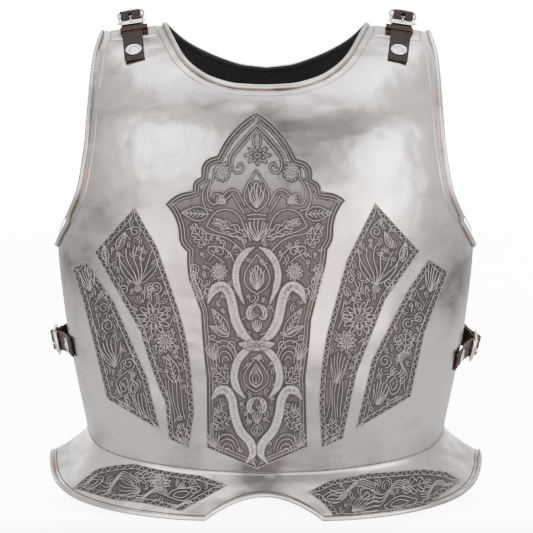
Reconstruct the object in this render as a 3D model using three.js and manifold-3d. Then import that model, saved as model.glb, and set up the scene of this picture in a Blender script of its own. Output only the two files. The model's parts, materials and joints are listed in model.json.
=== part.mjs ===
// A steel cuirass: a breastplate and a backplate, each with a flared flange lapped under its waist edge, held
// together by two buckled leather straps over the shoulders and two at the sides.
// Millimetres. +Z is up, the wearer faces -Y, X = 0 is the plane of symmetry and z = 0 the surface it stands on.
// The plates are single sheets whose neck and arm edges are rolled outwards over a wire. Each is a half sheet laid
// out between its waist, side, shoulder and neck lines on a lofted body surface, thickened, edged and mirrored.

import * as THREE from "three";
import { mergeVertices } from "three/addons/utils/BufferGeometryUtils.js";
import Module from "manifold-3d";

const wasm = await Module();
wasm.setup();

// Driving dimensions: the body
const chestWidth = 416; // across the armpits
const breastDepth = 152; // breastplate, from the side plane to its fullest point
const backDepth = 112; // backplate, the same
const shoulderHeight = 472; // neck end of the shoulders
const shoulderFall = 6; // how much lower their outer end is
const waistHeight = 73; // waist edge at the sides
const breastDip = 34; // how far the waist edge sinks at the front
const backDip = 20; // and at the back
const armpitHeight = 254;
const shoulderSpan = 318; // across the outer corners of the shoulders
const neckSpan = 206; // across the neck corners
const breastNeckDrop = 63; // neckline below the shoulder line, front
const backNeckDrop = 45; // and back
const sideJoint = 5; // half of the space between the two plates at the side

// Driving dimensions: sheet metal
const steel = 1.3;
const rollRadius = 2.6; // rolled neck and arm edges
const rimRadius = 2.3; // rolled rim of the flanges
const hemRise = 1.2; // folded hem across the top of a shoulder
const hemWidth = 18;
const hemMargin = 5; // hem's ends from the neck and arm edges
const fit = 0.3; // clear space between pieces that touch
const lapFit = 0.45; // between a plate and the flange behind it
const seamDrop = 1.8; // where the flare starts, below the waist edge
const footFlat = 0.5; // how much of the rolled rim is worn flat where it stands

// Driving dimensions: flanges
const flangeOutFront = 38;
const flangeOutSide = 35;
const flangeOutBack = 34;
const rimRise = 42; // the rim's side ends above its foot
const lap = 9; // flange tucked up behind the waist edge
const notchWidth = 112;
const notchHeight = 27; // along the flange
const notchTurn = 1.74; // turn of the notch's corner, as a share of its turn on a circle across the chest

// Driving dimensions: straps and buckles
const strapWidth = 20;
const strapThickness = 2.2;
const chapeThickness = 1.9; // leather that holds the buckle
const wireRadius = 1.4; // buckle frame
const rollerRadius = 2.4;
const prongRadius = 1;
const buckleReach = 13; // roller to centre bar
const buckleRound = 14; // centre bar to the round end
const washerRadius = 8;
const washerThickness = 1;
const rivetRadius = 2;
const rivetHeadRadius = 3.2;
const rivetHeadHeight = 1.3;
const rivetRoom = 2.45; // inside the plate, whose facets lie a little inside its true surface
const keeperWidth = 6;
const keeperThickness = 1.2;
const keeperSlack = 4.5; // how far the keeper stands out on the neck's side of its strap
const prongSlot = 3.4; // slots for the prong in both leathers
const seat = 0.65; // space under a strap, which lies flat on a rounded plate
const tailLength = 15; // strap past the round end of its buckle
const rivetMargin = 14; // rivet to the end of its strap

// Body sections. height: share of the way from the side of the waist to the shoulder line. width: share of half the
// chest width. breast, back: shares of each plate's depth. square: how far the section is from an ellipse (2).
const sections = [
  { height: -0.15, width: 0.82, breast: 0.67, back: 0.7, square: 2.3 },
  { height: 0.0, width: 0.867, breast: 0.77, back: 0.76, square: 2.35 },
  { height: 0.12, width: 0.913, breast: 0.875, back: 0.83, square: 2.4 },
  { height: 0.28, width: 0.966, breast: 0.965, back: 0.9, square: 2.4 },
  { height: 0.46, width: 1.0, breast: 1.0, back: 0.96, square: 2.35 },
  { height: 0.6, width: 1.005, breast: 0.975, back: 1.0, square: 2.3 },
  { height: 0.74, width: 0.995, breast: 0.865, back: 0.98, square: 2.25 },
  { height: 0.84, width: 0.975, breast: 0.69, back: 0.86, square: 2.2 },
  { height: 0.92, width: 0.945, breast: 0.45, back: 0.62, square: 2.15 },
  { height: 1.0, width: 0.9, breast: 0.085, back: 0.22, square: 2.1 },
];

// Waist edge and flange rim. turn: share of the way round from the middle to the side plane. waist: share of the
// dip that is left. rim: share of the rise of the rim at the sides.
const waistLine = [
  { turn: 0, waist: 1, rim: 0 },
  { turn: 0.3, waist: 0.95, rim: 0 },
  { turn: 0.55, waist: 0.82, rim: 0.06 },
  { turn: 0.75, waist: 0.62, rim: 0.22 },
  { turn: 0.88, waist: 0.36, rim: 0.5 },
  { turn: 1, waist: 0, rim: 1 },
];

// Arm edge. rise: share of the way from the armpit to the shoulder line. reach: how far out the edge lies, as a
// share of the way from the shoulder corner (0) to the armpit (1).
const armEdge = [
  { rise: 0.0, reach: 1.0 },
  { rise: 0.064, reach: 0.85 },
  { rise: 0.174, reach: 0.575 },
  { rise: 0.28, reach: 0.38 },
  { rise: 0.386, reach: 0.29 },
  { rise: 0.51, reach: 0.22 },
  { rise: 0.65, reach: 0.185 },
  { rise: 0.88, reach: 0.125 },
  { rise: 1.0, reach: 0.0 },
];

// Neck edge. out: share of half the neck span. breast, back: shares of each plate's neck drop.
const neckEdge = [
  { out: 0.0, breast: 0.0, back: 0.0 },
  { out: 0.25, breast: 0.02, back: 0.06 },
  { out: 0.5, breast: 0.12, back: 0.24 },
  { out: 0.68, breast: 0.28, back: 0.43 },
  { out: 0.82, breast: 0.5, back: 0.62 },
  { out: 0.92, breast: 0.76, back: 0.81 },
  { out: 1.0, breast: 1.0, back: 1.0 },
];

// Where the straps lie. side: -1 on the wearer's right. across: share of the way along a shoulder from the neck.
// height: share of the way from the waist to the armpit. climb: slope of a side strap.
const straps = [
  { name: "right_shoulder", over: "shoulder", side: -1, across: 0.446, keeper: true },
  { name: "left_shoulder", over: "shoulder", side: 1, across: 0.482, keeper: true },
  { name: "right_side", over: "side", side: -1, height: 0.459, climb: 0.12 },
  { name: "left_side", over: "side", side: 1, height: 0.392, climb: 0.3 },
];
// Lengths in strap widths. along, off: the buckle's centre bar from the edge of the breastplate, along the strap and
// away from the plates. front, rear: rivets from the edges of the plates. free: how far from the edge the strap
// leaves the breastplate. land: how far from the backplate's edge it comes down. tilt: the buckle's slope, in
// degrees. turn: how far its face turns from the breastplate's lie to the backplate's.
const layouts = {
  shoulder: { along: 0.5, off: 0.4, front: 2.0, rear: 2.3, free: 0.4, land: 1.1, tilt: 32, turn: 0 },
  side: { along: 0.4, off: 0.67, front: 1.7, rear: 2.05, free: 1.2, land: 1.2, tilt: 6, turn: 0.35 },
};
// Faces of a sheet's edge: the turns between which they run, in degrees, for a rolled edge and for a cut one
const edgeTurns = { rolled: { from: 150, to: -85 }, cut: { from: 55, to: -55 } };
// The flare's knee: shares of its reach and of its fall
const knee = { out: 0.2, down: 0.42 };

// How finely the sheets are divided
const breastGrid = { sideRows: 5, armRows: 9 };
const backGrid = { sideRows: 4, armRows: 7 };
const flangeRows = 3;
const breastColumns = { notch: 5, plain: 8 };
const backColumns = { notch: 0, plain: 10 };
const wireSides = 6;
const bowSides = 10; // pieces of a buckle's round end
const roundSides = 10;
const billetSteps = 22;
const chapeSteps = 18;
const edgeSides = 4; // faces round a rolled edge
const hemGrid = { across: 6, down: 3 };
const neckStart = 0.62; // share of a plate's rows that lie below its neck edge
const march = 0.4 * steel; // step of a walk along a plate's outside

const v3 = (x, y, z) => new THREE.Vector3(x, y, z);
const lerp = (a, b, t) => a + (b - a) * t;
const smoothstep = (t) => {
  const c = Math.min(1, Math.max(0, t));
  return c * c * (3 - 2 * c);
};

// A smooth curve through the rows of a table that never overshoots them (monotone cubic).
function curveThrough(rows, from, to) {
  const xs = rows.map((r) => r[from]);
  const ys = rows.map((r) => r[to]);
  const last = xs.length - 1;
  const slope = [];
  for (let i = 0; i < last; i++) slope.push((ys[i + 1] - ys[i]) / (xs[i + 1] - xs[i]));
  const tangent = xs.map((_, i) => {
    if (i === 0) return slope[0];
    if (i === last) return slope[last - 1];
    if (slope[i - 1] * slope[i] <= 0) return 0;
    const before = xs[i] - xs[i - 1];
    const after = xs[i + 1] - xs[i];
    const w = 2 * after + before;
    const u = after + 2 * before;
    return (w + u) / (w / slope[i - 1] + u / slope[i]);
  });
  return (x) => {
    let i = 0;
    while (i < last - 1 && x > xs[i + 1]) i++;
    const step = xs[i + 1] - xs[i];
    const t = (x - xs[i]) / step;
    const t2 = t * t;
    const t3 = t2 * t;
    return (
      (2 * t3 - 3 * t2 + 1) * ys[i] +
      (t3 - 2 * t2 + t) * step * tangent[i] +
      (3 * t2 - 2 * t3) * ys[i + 1] +
      (t3 - t2) * step * tangent[i + 1]
    );
  };
}

// The value at which a rising function reaches a target.
function solve(f, target, low, high) {
  for (let i = 0; i < 40; i++) {
    const middle = (low + high) / 2;
    if (f(middle) < target) low = middle;
    else high = middle;
  }
  return (low + high) / 2;
}

const bodyRise = shoulderHeight - waistHeight;
const widthAt = curveThrough(sections, "height", "width");
const squareAt = curveThrough(sections, "height", "square");
const waistAt = curveThrough(waistLine, "turn", "waist");
const rimAt = curveThrough(waistLine, "turn", "rim");

// One side of the body. facing is -1 for the breast, which faces -Y, and 1 for the back. angle runs from 0 at the
// middle to 90 degrees at the side plane, and a little past it at the plate's side edge.
class Body {
  constructor(facing, depth, column, dip, neckDrop) {
    this.facing = facing;
    this.depth = depth;
    this.depthAt = curveThrough(sections, "height", column);
    this.neckRise = curveThrough(neckEdge, "out", column);
    this.dip = dip;
    this.neckDrop = neckDrop;
  }
  radius(angle, z) {
    const share = (z - waistHeight) / bodyRise;
    const n = squareAt(share);
    const a = (widthAt(share) * chestWidth) / 2;
    const d = this.depthAt(share) * this.depth;
    const c = Math.abs(Math.cos(angle)) / d;
    const s = Math.abs(Math.sin(angle)) / a;
    return (c ** n + s ** n) ** (-1 / n);
  }
  point(angle, z) {
    const r = this.radius(angle, z);
    return v3(r * Math.sin(angle), this.facing * (sideJoint + r * Math.cos(angle)), z);
  }
  normal(angle, z) {
    const e = 1e-3;
    const along = this.point(angle + e, z).sub(this.point(angle - e, z));
    const up = this.point(angle, z + e * 100).sub(this.point(angle, z - e * 100));
    return along.cross(up).multiplyScalar(-this.facing).normalize();
  }
  // The angle of the point that lies x from the middle at height z.
  angleAt(x, z) {
    return solve((angle) => this.radius(angle, z) * Math.sin(angle), x, 0, Math.PI / 2);
  }
  at(x, z) {
    return this.point(this.angleAt(x, z), z);
  }
  normalAt(x, z) {
    return this.normal(this.angleAt(x, z), z);
  }
  // The angle of the plate's side edge: the side plane.
  sideAngle() {
    return Math.PI / 2;
  }
  waist(angle) {
    return waistHeight - this.dip * waistAt(Math.abs(angle) / this.sideAngle());
  }
}

const breast = new Body(-1, breastDepth - sideJoint, "breast", breastDip, breastNeckDrop);
const back = new Body(1, backDepth - sideJoint, "back", backDip, backNeckDrop);

const armReach = curveThrough(armEdge, "rise", "reach");

// Height of the shoulder edge at a distance from the middle.
function topAt(x) {
  const share = (x - neckSpan / 2) / (shoulderSpan / 2 - neckSpan / 2);
  return shoulderHeight - shoulderFall * share;
}

// A closed sheet from a half grid of outer points and their normals, mirrored over X = 0. rows[j][i] runs from the
// middle or the neck (i = 0) outwards, and from the waist (j = 0) upwards. path lists the border's points, each with
// its roll: 0 for a cut edge, 1 for an edge rolled outwards.
function sheet(rows, normals, path, radius, facing) {
  const positions = [];
  const put = (p) => {
    positions.push(p.x, p.y, p.z);
  };
  const quad = (a, b, c, d) => {
    for (const p of [a, b, c, a, c, d]) put(p);
  };
  const inner = rows.map((row, j) =>
    row.map((p, i) => p.clone().addScaledVector(normals[j][i], -steel)),
  );
  for (let j = 0; j + 1 < rows.length; j++)
    for (let i = 0; i + 1 < rows[j].length; i++) {
      quad(rows[j][i], rows[j][i + 1], rows[j + 1][i + 1], rows[j + 1][i]);
      quad(inner[j][i], inner[j + 1][i], inner[j + 1][i + 1], inner[j][i + 1]);
    }
  const walls = path.map(({ j, i, roll }, k) => {
    const before = path[Math.max(0, k - 1)];
    const after = path[Math.min(path.length - 1, k + 1)];
    const along = rows[after.j][after.i].clone().sub(rows[before.j][before.i]);
    const n = normals[j][i];
    const out = along.clone().cross(n).multiplyScalar(-facing).normalize();
    if (k === 0 || k === path.length - 1) out.setX(0).normalize();
    const outer = rows[j][i];
    const r = lerp(steel / 2, radius, roll);
    const centre = outer
      .clone()
      .addScaledVector(out, 0.85 * r * roll)
      .addScaledVector(n, r - steel);
    const from = lerp(edgeTurns.cut.from, edgeTurns.rolled.from, roll);
    const to = lerp(edgeTurns.cut.to, edgeTurns.rolled.to, roll);
    const ring = [outer];
    for (let m = 0; m < edgeSides; m++) {
      const a = THREE.MathUtils.degToRad(lerp(from, to, m / (edgeSides - 1)));
      ring.push(
        centre
          .clone()
          .addScaledVector(out, r * Math.cos(a))
          .addScaledVector(n, r * Math.sin(a)),
      );
    }
    ring.push(inner[j][i]);
    return ring;
  });
  for (let k = 0; k + 1 < walls.length; k++)
    for (let m = 0; m + 1 < walls[k].length; m++)
      quad(walls[k][m], walls[k][m + 1], walls[k + 1][m + 1], walls[k + 1][m]);
  const half = positions.length;
  for (let t = 0; t < half; t += 9)
    for (const c of [0, 6, 3])
      positions.push(-positions[t + c], positions[t + c + 1], positions[t + c + 2]);
  return solidOf(positions, facing > 0);
}

// A manifold solid from triangle corners, turned so that its faces point out.
function solidOf(positions, flip = false) {
  const geometry = new THREE.BufferGeometry();
  geometry.setAttribute("position", new THREE.Float32BufferAttribute(positions, 3));
  return manifoldOf(geometry, flip);
}

function manifoldOf(geometry, flip = false) {
  const bare = geometry.clone();
  bare.deleteAttribute("normal");
  bare.deleteAttribute("uv");
  const merged = mergeVertices(bare, 1e-3);
  const triVerts = new Uint32Array(merged.index.array);
  const kept = [];
  for (let i = 0; i < triVerts.length; i += 3) {
    const [a, b, c] = [triVerts[i], triVerts[i + 1], triVerts[i + 2]];
    if (a === b || b === c || a === c) continue;
    kept.push(...(flip ? [a, c, b] : [a, b, c]));
  }
  return new wasm.Manifold(
    new wasm.Mesh({
      numProp: 3,
      vertProperties: merged.attributes.position.array,
      triVerts: new Uint32Array(kept),
    }),
  );
}

function geometryOf(solid) {
  const mesh = solid.getMesh();
  const positions = new Float32Array(mesh.numVert * 3);
  for (let i = 0; i < mesh.numVert; i++)
    positions.set(mesh.vertProperties.subarray(i * mesh.numProp, i * mesh.numProp + 3), i * 3);
  const indexed = new THREE.BufferGeometry();
  indexed.setAttribute("position", new THREE.BufferAttribute(positions, 3));
  indexed.setIndex(new THREE.BufferAttribute(mesh.triVerts, 1));
  const geometry = indexed.toNonIndexed();
  geometry.computeVertexNormals();
  return geometry;
}

// Breastplate and backplate
// The half plate's four sides, as (angle, height): the middle line and then the neck on one side, the side edge and
// then the arm edge on the other. The grid between them is a Coons patch.
function plate(body, grid) {
  const side = body.sideAngle();
  const neckLow = shoulderHeight - body.neckDrop;
  const neckHalf = neckSpan / 2;
  const rowsTotal = grid.sideRows + grid.armRows;
  const lowRows = Math.round(rowsTotal * neckStart);
  const neckRows = rowsTotal - lowRows;
  const turns = columnTurns(body);
  const columns = turns.length - 1;
  const left = [];
  for (let j = 0; j <= lowRows; j++) left.push([0, lerp(body.waist(0), neckLow, j / lowRows)]);
  for (let j = 1; j <= neckRows; j++) {
    const out = Math.sin((j / neckRows) * (Math.PI / 2)) ** 0.9;
    const z = neckLow + body.neckDrop * body.neckRise(out);
    left.push([body.angleAt(neckHalf * out, z), z]);
  }
  const right = [];
  for (let j = 0; j <= grid.sideRows; j++)
    right.push([side, lerp(body.waist(side), armpitHeight, j / grid.sideRows)]);
  const armpitHalf = (widthAt((armpitHeight - waistHeight) / bodyRise) * chestWidth) / 2;
  for (let j = 1; j <= grid.armRows; j++) {
    const rise = j / grid.armRows;
    const z = lerp(armpitHeight, shoulderHeight - shoulderFall, rise);
    right.push([body.angleAt(lerp(shoulderSpan / 2, armpitHalf, armReach(rise)), z), z]);
  }
  const bottom = [];
  const top = [];
  for (let i = 0; i <= columns; i++) {
    const u = i / columns;
    bottom.push([turns[i], body.waist(turns[i])]);
    const x = lerp(neckHalf, shoulderSpan / 2, u);
    top.push([body.angleAt(x, topAt(x)), topAt(x)]);
  }
  const rows = [];
  const normals = [];
  for (let j = 0; j <= rowsTotal; j++) {
    const v = j / rowsTotal;
    const row = [];
    const rowNormals = [];
    for (let i = 0; i <= columns; i++) {
      const u = i / columns;
      const [angle, z] = [0, 1].map(
        (c) =>
          (1 - u) * left[j][c] +
          u * right[j][c] +
          (1 - v) * bottom[i][c] +
          v * top[i][c] -
          (1 - u) * (1 - v) * left[0][c] -
          u * (1 - v) * right[0][c] -
          (1 - u) * v * left[rowsTotal][c] -
          u * v * right[rowsTotal][c],
      );
      const n = body.normal(angle, z);
      if (i === 0 && j <= lowRows) n.setX(0).normalize();
      rowNormals.push(n);
      row.push(body.point(angle, z));
    }
    rows.push(row);
    normals.push(rowNormals);
  }
  const path = [];
  for (let i = 0; i < columns; i++) path.push({ j: 0, i, roll: 0 });
  for (let j = 0; j < rowsTotal; j++)
    path.push({ j, i: columns, roll: j < grid.sideRows ? 0 : 1 });
  for (let i = columns; i > 0; i--)
    path.push({ j: rowsTotal, i, roll: i === columns ? 1 : 0 });
  for (let j = rowsTotal; j >= lowRows; j--) path.push({ j, i: 0, roll: 1 });
  return sheet(rows, normals, path, rollRadius, body.facing);
}

// The hem folded over the top edge of a shoulder, as a strip that stands on the plate.
function hem(body, side) {
  const inner = neckSpan / 2 + hemMargin;
  const outer = shoulderSpan / 2 - hemMargin;
  const middle = (inner + outer) / 2;
  const edge = body.at(middle, topAt(middle));
  const drop = solve((d) => edge.distanceTo(body.at(middle, topAt(middle) - d)), hemWidth, 0, hemWidth);
  const under = [];
  const over = [];
  for (let j = 0; j <= hemGrid.down; j++) {
    under.push([]);
    over.push([]);
    for (let i = 0; i <= hemGrid.across; i++) {
      const x = lerp(inner, outer, i / hemGrid.across);
      const z = topAt(x) - drop * (1 - j / hemGrid.down);
      const n = body.normalAt(x, z);
      under[j].push(body.at(x, z).addScaledVector(n, -steel / 2));
      over[j].push(body.at(x, z).addScaledVector(n, hemRise));
    }
  }
  const positions = [];
  boxOfGrids(under, over, positions);
  for (let k = 0; k < positions.length; k += 3) positions[k] *= side;
  return solidOf(positions, body.facing * side > 0);
}

// Triangles of the closed block between two grids of points.
function boxOfGrids(under, over, positions) {
  const quad = (a, b, c, d) => {
    for (const p of [a, b, c, a, c, d]) positions.push(p.x, p.y, p.z);
  };
  const last = over.length - 1;
  const wide = over[0].length - 1;
  for (let j = 0; j < last; j++)
    for (let i = 0; i < wide; i++) {
      quad(over[j][i], over[j][i + 1], over[j + 1][i + 1], over[j + 1][i]);
      quad(under[j][i], under[j + 1][i], under[j + 1][i + 1], under[j][i + 1]);
    }
  for (let i = 0; i < wide; i++) {
    quad(under[0][i], under[0][i + 1], over[0][i + 1], over[0][i]);
    quad(over[last][i], over[last][i + 1], under[last][i + 1], under[last][i]);
  }
  for (let j = 0; j < last; j++) {
    quad(over[j][0], over[j + 1][0], under[j + 1][0], under[j][0]);
    quad(under[j][wide], under[j + 1][wide], over[j + 1][wide], over[j][wide]);
  }
}

// Columns of a plate and of its flange, so that their facets lie one behind the other: the turn of each from the
// middle to the side, closer together within the notch.
function columnTurns(body) {
  const { notch, plain } = body === breast ? breastColumns : backColumns;
  const corner = notch > 0 ? Math.asin(notchWidth / chestWidth) * notchTurn : 0;
  const turns = [];
  for (let i = 0; i < notch; i++) turns.push((corner * i) / notch);
  for (let i = 0; i <= plain; i++) turns.push(lerp(corner, body.sideAngle(), i / plain));
  return turns;
}

// A point of a flange's outside. t runs from the seam at the waist (0) to the rim (1).
function flarePoint(body, out, angle, t) {
  const share = Math.abs(angle) / body.sideAngle();
  const z0 = body.waist(angle) - seamDrop;
  const n = body.normal(angle, z0);
  const top = body.point(angle, z0).addScaledVector(n, -steel - lapFit);
  const level = n.clone().setZ(0).normalize();
  const reach = lerp(out, flangeOutSide, smoothstep(share)) + steel + lapFit;
  const low = rimRadius - footFlat + rimRise * rimAt(share);
  const away = 2 * (1 - t) * t * knee.out * reach + t * t * reach;
  const z = (1 - t) * (1 - t) * top.z + 2 * (1 - t) * t * lerp(top.z, low, knee.down) + t * t * low;
  return top.clone().addScaledVector(level, away).setZ(z);
}

// A flange: its upper edge tucks up behind the waist of its plate, and below the waist it flares out to a rolled
// rim. notch is the height of the arch cut in its middle, along the flange.
function flange(body, out, notch) {
  const turns = columnTurns(body);
  const total = turns.length - 1;
  const corner = body === breast ? breastColumns.notch : 0;
  const slant = flarePoint(body, out, turns[corner], 1).distanceTo(flarePoint(body, out, turns[corner], 0));
  const edgeOf = (i) => {
    if (i >= corner) return 1;
    return 1 - (notch / slant) * Math.cos(((i / corner) * Math.PI) / 2) ** 0.8;
  };
  const rows = [];
  const normals = [];
  for (let j = 0; j <= flangeRows + 1; j++) {
    rows.push([]);
    normals.push([]);
    for (let i = 0; i <= total; i++) {
      const angle = turns[i];
      if (j > flangeRows) {
        const n = body.normal(angle, body.waist(angle) + lap);
        rows[j].push(body.point(angle, body.waist(angle) + lap).addScaledVector(n, -steel - lapFit));
        normals[j].push(n);
        continue;
      }
      const t = edgeOf(i) * (1 - j / flangeRows);
      const e = 1e-3;
      const beside = flarePoint(body, out, angle + e, t);
      const along = beside.sub(flarePoint(body, out, angle - e, t));
      const up = flarePoint(body, out, angle, Math.max(t - e, 0));
      up.sub(flarePoint(body, out, angle, Math.max(t, e)));
      rows[j].push(flarePoint(body, out, angle, t));
      normals[j].push(along.cross(up).multiplyScalar(-body.facing).normalize());
    }
  }
  for (const row of rows) row[0].setX(0);
  for (const row of normals) row[0].setX(0).normalize();
  const path = [];
  for (let i = 0; i < total; i++) path.push({ j: 0, i, roll: 1 });
  for (let j = 0; j < rows.length - 1; j++) path.push({ j, i: total, roll: j === 0 ? 1 : 0 });
  for (let i = total; i >= 0; i--) path.push({ j: rows.length - 1, i, roll: 0 });
  return sheet(rows, normals, path, rimRadius, body.facing).subtract(belowFloor);
}

const floorBlock = new THREE.BoxGeometry(4 * chestWidth, 4 * chestWidth, chestWidth);
floorBlock.translate(0, 0, -chestWidth / 2);
const belowFloor = manifoldOf(floorBlock);

// Straps and buckles
// A strap's frame: a plane square to the strap's width, through its front and rear rivets. Places in it are (u, n):
// u runs from front to back and n away from the plates; w is measured across the strap.
class StrapFrame {
  constructor(strap) {
    const shares = layouts[strap.over];
    const layout = { tilt: shares.tilt, turn: shares.turn };
    for (const key of ["along", "off", "front", "rear", "free", "land"]) layout[key] = shares[key] * strapWidth;
    const across = lerp(neckSpan / 2, shoulderSpan / 2, strap.across);
    const height = lerp(waistHeight, armpitHeight, strap.height);
    this.strap = strap;
    this.layout = layout;
    this.traces = [breast, back].map((body) => {
      const away = body === breast ? 1 : -1;
      if (strap.over === "shoulder")
        return (t) => {
          const z = topAt(across) - t;
          return { p: body.at(across, z), n: body.normalAt(across, z) };
        };
      return (t) => {
        const ahead = away > 0 ? t - layout.front : -t - 2 * sideJoint - layout.front;
        const z = height - strap.climb * ahead;
        const a = solve((b) => body.radius(Math.PI / 2 - b, z) * Math.sin(b), t, 0, Math.PI / 2);
        return { p: body.point(Math.PI / 2 - a, z), n: body.normal(Math.PI / 2 - a, z) };
      };
    });
    const start = this.onPlate(0, layout.front);
    const finish = this.onPlate(1, layout.rear);
    this.u = finish.p.clone().sub(start.p).normalize();
    const mean = this.onPlate(0, 0.7 * layout.front).n.lerp(finish.n, layout.turn);
    this.w = this.u.clone().cross(mean).normalize();
    this.n = this.w.clone().cross(this.u).normalize();
    this.origin = start.p;
  }
  // The point of a plate's outside at a distance from its edge, along the strap, and the normal there.
  onPlate(which, length) {
    const trace = this.traces[which];
    let far = 0;
    let t = 0;
    let here = trace(0);
    while (far < length) {
      t += march;
      const next = trace(t);
      far += next.p.distanceTo(here.p);
      here = next;
    }
    return here;
  }
  flat(p) {
    const d = p.clone().sub(this.origin);
    return new THREE.Vector2(d.dot(this.u), d.dot(this.n));
  }
  // A place above a plate: at a distance from the plate's edge and a height over its surface.
  above(which, length, height) {
    const { p, n } = this.onPlate(which, length);
    const place = this.flat(p);
    const out = new THREE.Vector2(n.dot(this.u), n.dot(this.n)).normalize();
    return place.addScaledVector(out, height);
  }
  matrix(place, slope) {
    const c = Math.cos(slope);
    const s = Math.sin(slope);
    const along = this.u.clone().multiplyScalar(c).addScaledVector(this.n, s);
    const up = this.u.clone().multiplyScalar(-s).addScaledVector(this.n, c);
    const at = this.origin.clone().addScaledVector(this.u, place.x).addScaledVector(this.n, place.y);
    return new THREE.Matrix4().makeBasis(along, up, along.clone().cross(up)).setPosition(at);
  }
}

// A closed outline in (u, n), pushed out to a width across the strap, centred on it.
function slab(points, width) {
  const shape = new THREE.Shape(points);
  const geometry = new THREE.ExtrudeGeometry(shape, { depth: width, bevelEnabled: false, steps: 1 });
  geometry.translate(0, 0, -width / 2);
  return manifoldOf(geometry);
}

// A smooth line through places in (u, n), as evenly spaced points with the direction away from the plates at each.
function lineThrough(places, steps) {
  const curve = new THREE.CatmullRomCurve3(
    places.map((p) => v3(p.x, p.y, 0)),
    false,
    "centripetal",
  );
  const line = curve.getSpacedPoints(steps).map((p) => new THREE.Vector2(p.x, p.y));
  return line.map((p, k) => {
    const along = line[Math.min(line.length - 1, k + 1)].clone().sub(line[Math.max(0, k - 1)]).normalize();
    return { p, out: new THREE.Vector2(-along.y, along.x) };
  });
}

// A strip of leather along a line.
function strip(line, thickness, width) {
  const upper = line.map(({ p, out }) => p.clone().addScaledVector(out, thickness / 2));
  const lower = line.map(({ p, out }) => p.clone().addScaledVector(out, -thickness / 2));
  return slab([...lower, ...upper.reverse()], width);
}

function arcPoints(radius, from, to, sides) {
  const points = [];
  for (let k = 0; k <= sides; k++) {
    const a = lerp(from, to, k / sides);
    points.push(new THREE.Vector2(radius * Math.cos(a), radius * Math.sin(a)));
  }
  return points;
}

// A ring round the w axis, open at neither end.
function ring(inner, outer, width, sides) {
  const circle = (r) => slab(arcPoints(r, 0, 2 * Math.PI, sides).slice(0, -1), width);
  const hole = slab(arcPoints(inner, 0, 2 * Math.PI, sides).slice(0, -1), width * 2);
  return circle(outer).subtract(hole);
}

function rod(from, to, radius, sides) {
  const length = from.distanceTo(to);
  const geometry = new THREE.CylinderGeometry(radius, radius, length, sides);
  const turn = new THREE.Quaternion().setFromUnitVectors(v3(0, 1, 0), to.clone().sub(from).normalize());
  geometry.applyQuaternion(turn);
  const middle = from.clone().add(to).multiplyScalar(0.5);
  geometry.translate(middle.x, middle.y, middle.z);
  return manifoldOf(geometry);
}

function block(sizeU, sizeN, sizeW, u, n) {
  const geometry = new THREE.BoxGeometry(sizeU, sizeN, sizeW);
  geometry.translate(u, n, 0);
  return manifoldOf(geometry);
}

// The buckle's pieces lie in its own frame: u = 0 at the centre bar, the roller at -buckleReach, n = 0 at the wire.
const barHole = wireRadius + fit; // bore of what turns on the wire
const chapeOuter = barHole + chapeThickness;
const frameInner = strapWidth / 2 + 5 * fit;
const frameHalf = frameInner + wireRadius;

// A wire bent round a flat closed line in (u, w) and joined to itself.
function wireLoop(points, radius, sides) {
  const positions = [];
  const rings = points.map((p, k) => {
    const back = p.clone().sub(points[(k + points.length - 1) % points.length]).normalize();
    const on = points[(k + 1) % points.length].clone().sub(p).normalize();
    const mitre = back.clone().add(on).normalize();
    const out = v3(mitre.z, 0, -mitre.x).multiplyScalar(1 / Math.max(0.5, mitre.dot(on)));
    return Array.from({ length: sides }, (_, m) => {
      const a = (2 * Math.PI * m) / sides;
      const high = v3(0, radius * Math.sin(a), 0);
      return p.clone().addScaledVector(out, radius * Math.cos(a)).add(high);
    });
  });
  rings.forEach((here, k) => {
    const next = rings[(k + 1) % rings.length];
    for (let m = 0; m < sides; m++) {
      const a = here[m];
      const b = here[(m + 1) % sides];
      const c = next[(m + 1) % sides];
      const d = next[m];
      for (const q of [a, b, c, a, c, d]) positions.push(q.x, q.y, q.z);
    }
  });
  return solidOf(positions);
}

function buckleFrame() {
  const corner = (u, w) => v3(u, 0, w);
  const bowStart = 0.4 * buckleRound;
  const bow = bowStart + (buckleRound - bowStart) / 0.75;
  const round = new THREE.CubicBezierCurve3(
    corner(bowStart, -frameHalf),
    corner(bow, -frameHalf),
    corner(bow, frameHalf),
    corner(bowStart, frameHalf),
  );
  const points = [corner(-buckleReach, frameHalf), corner(-buckleReach, -frameHalf)];
  points.push(...round.getPoints(bowSides));
  const bar = rod(corner(0, -frameHalf), corner(0, frameHalf), wireRadius * 0.97, wireSides);
  return wireLoop(points, wireRadius, wireSides).add(bar);
}

function rollerSleeve() {
  const sleeve = ring(wireRadius + fit / 2, rollerRadius, 2 * frameInner - 5 * fit, roundSides);
  return sleeve.translate([-buckleReach, 0, 0]);
}

function prongOf() {
  const eye = ring(barHole, barHole + 1.3 * prongRadius, prongSlot - prongRadius, roundSides);
  const rest = rollerRadius + fit + prongRadius;
  const heel = v3(-barHole - 0.6 * prongRadius, 0.8 * prongRadius, 0);
  const tip = v3(-buckleReach - prongRadius, rest, 0);
  const end = v3(-buckleReach - 3.6 * prongRadius, rest - 0.8 * prongRadius, 0);
  return eye.add(rod(heel, tip, prongRadius, wireSides)).add(rod(tip, end, prongRadius * 0.9, wireSides));
}

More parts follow.
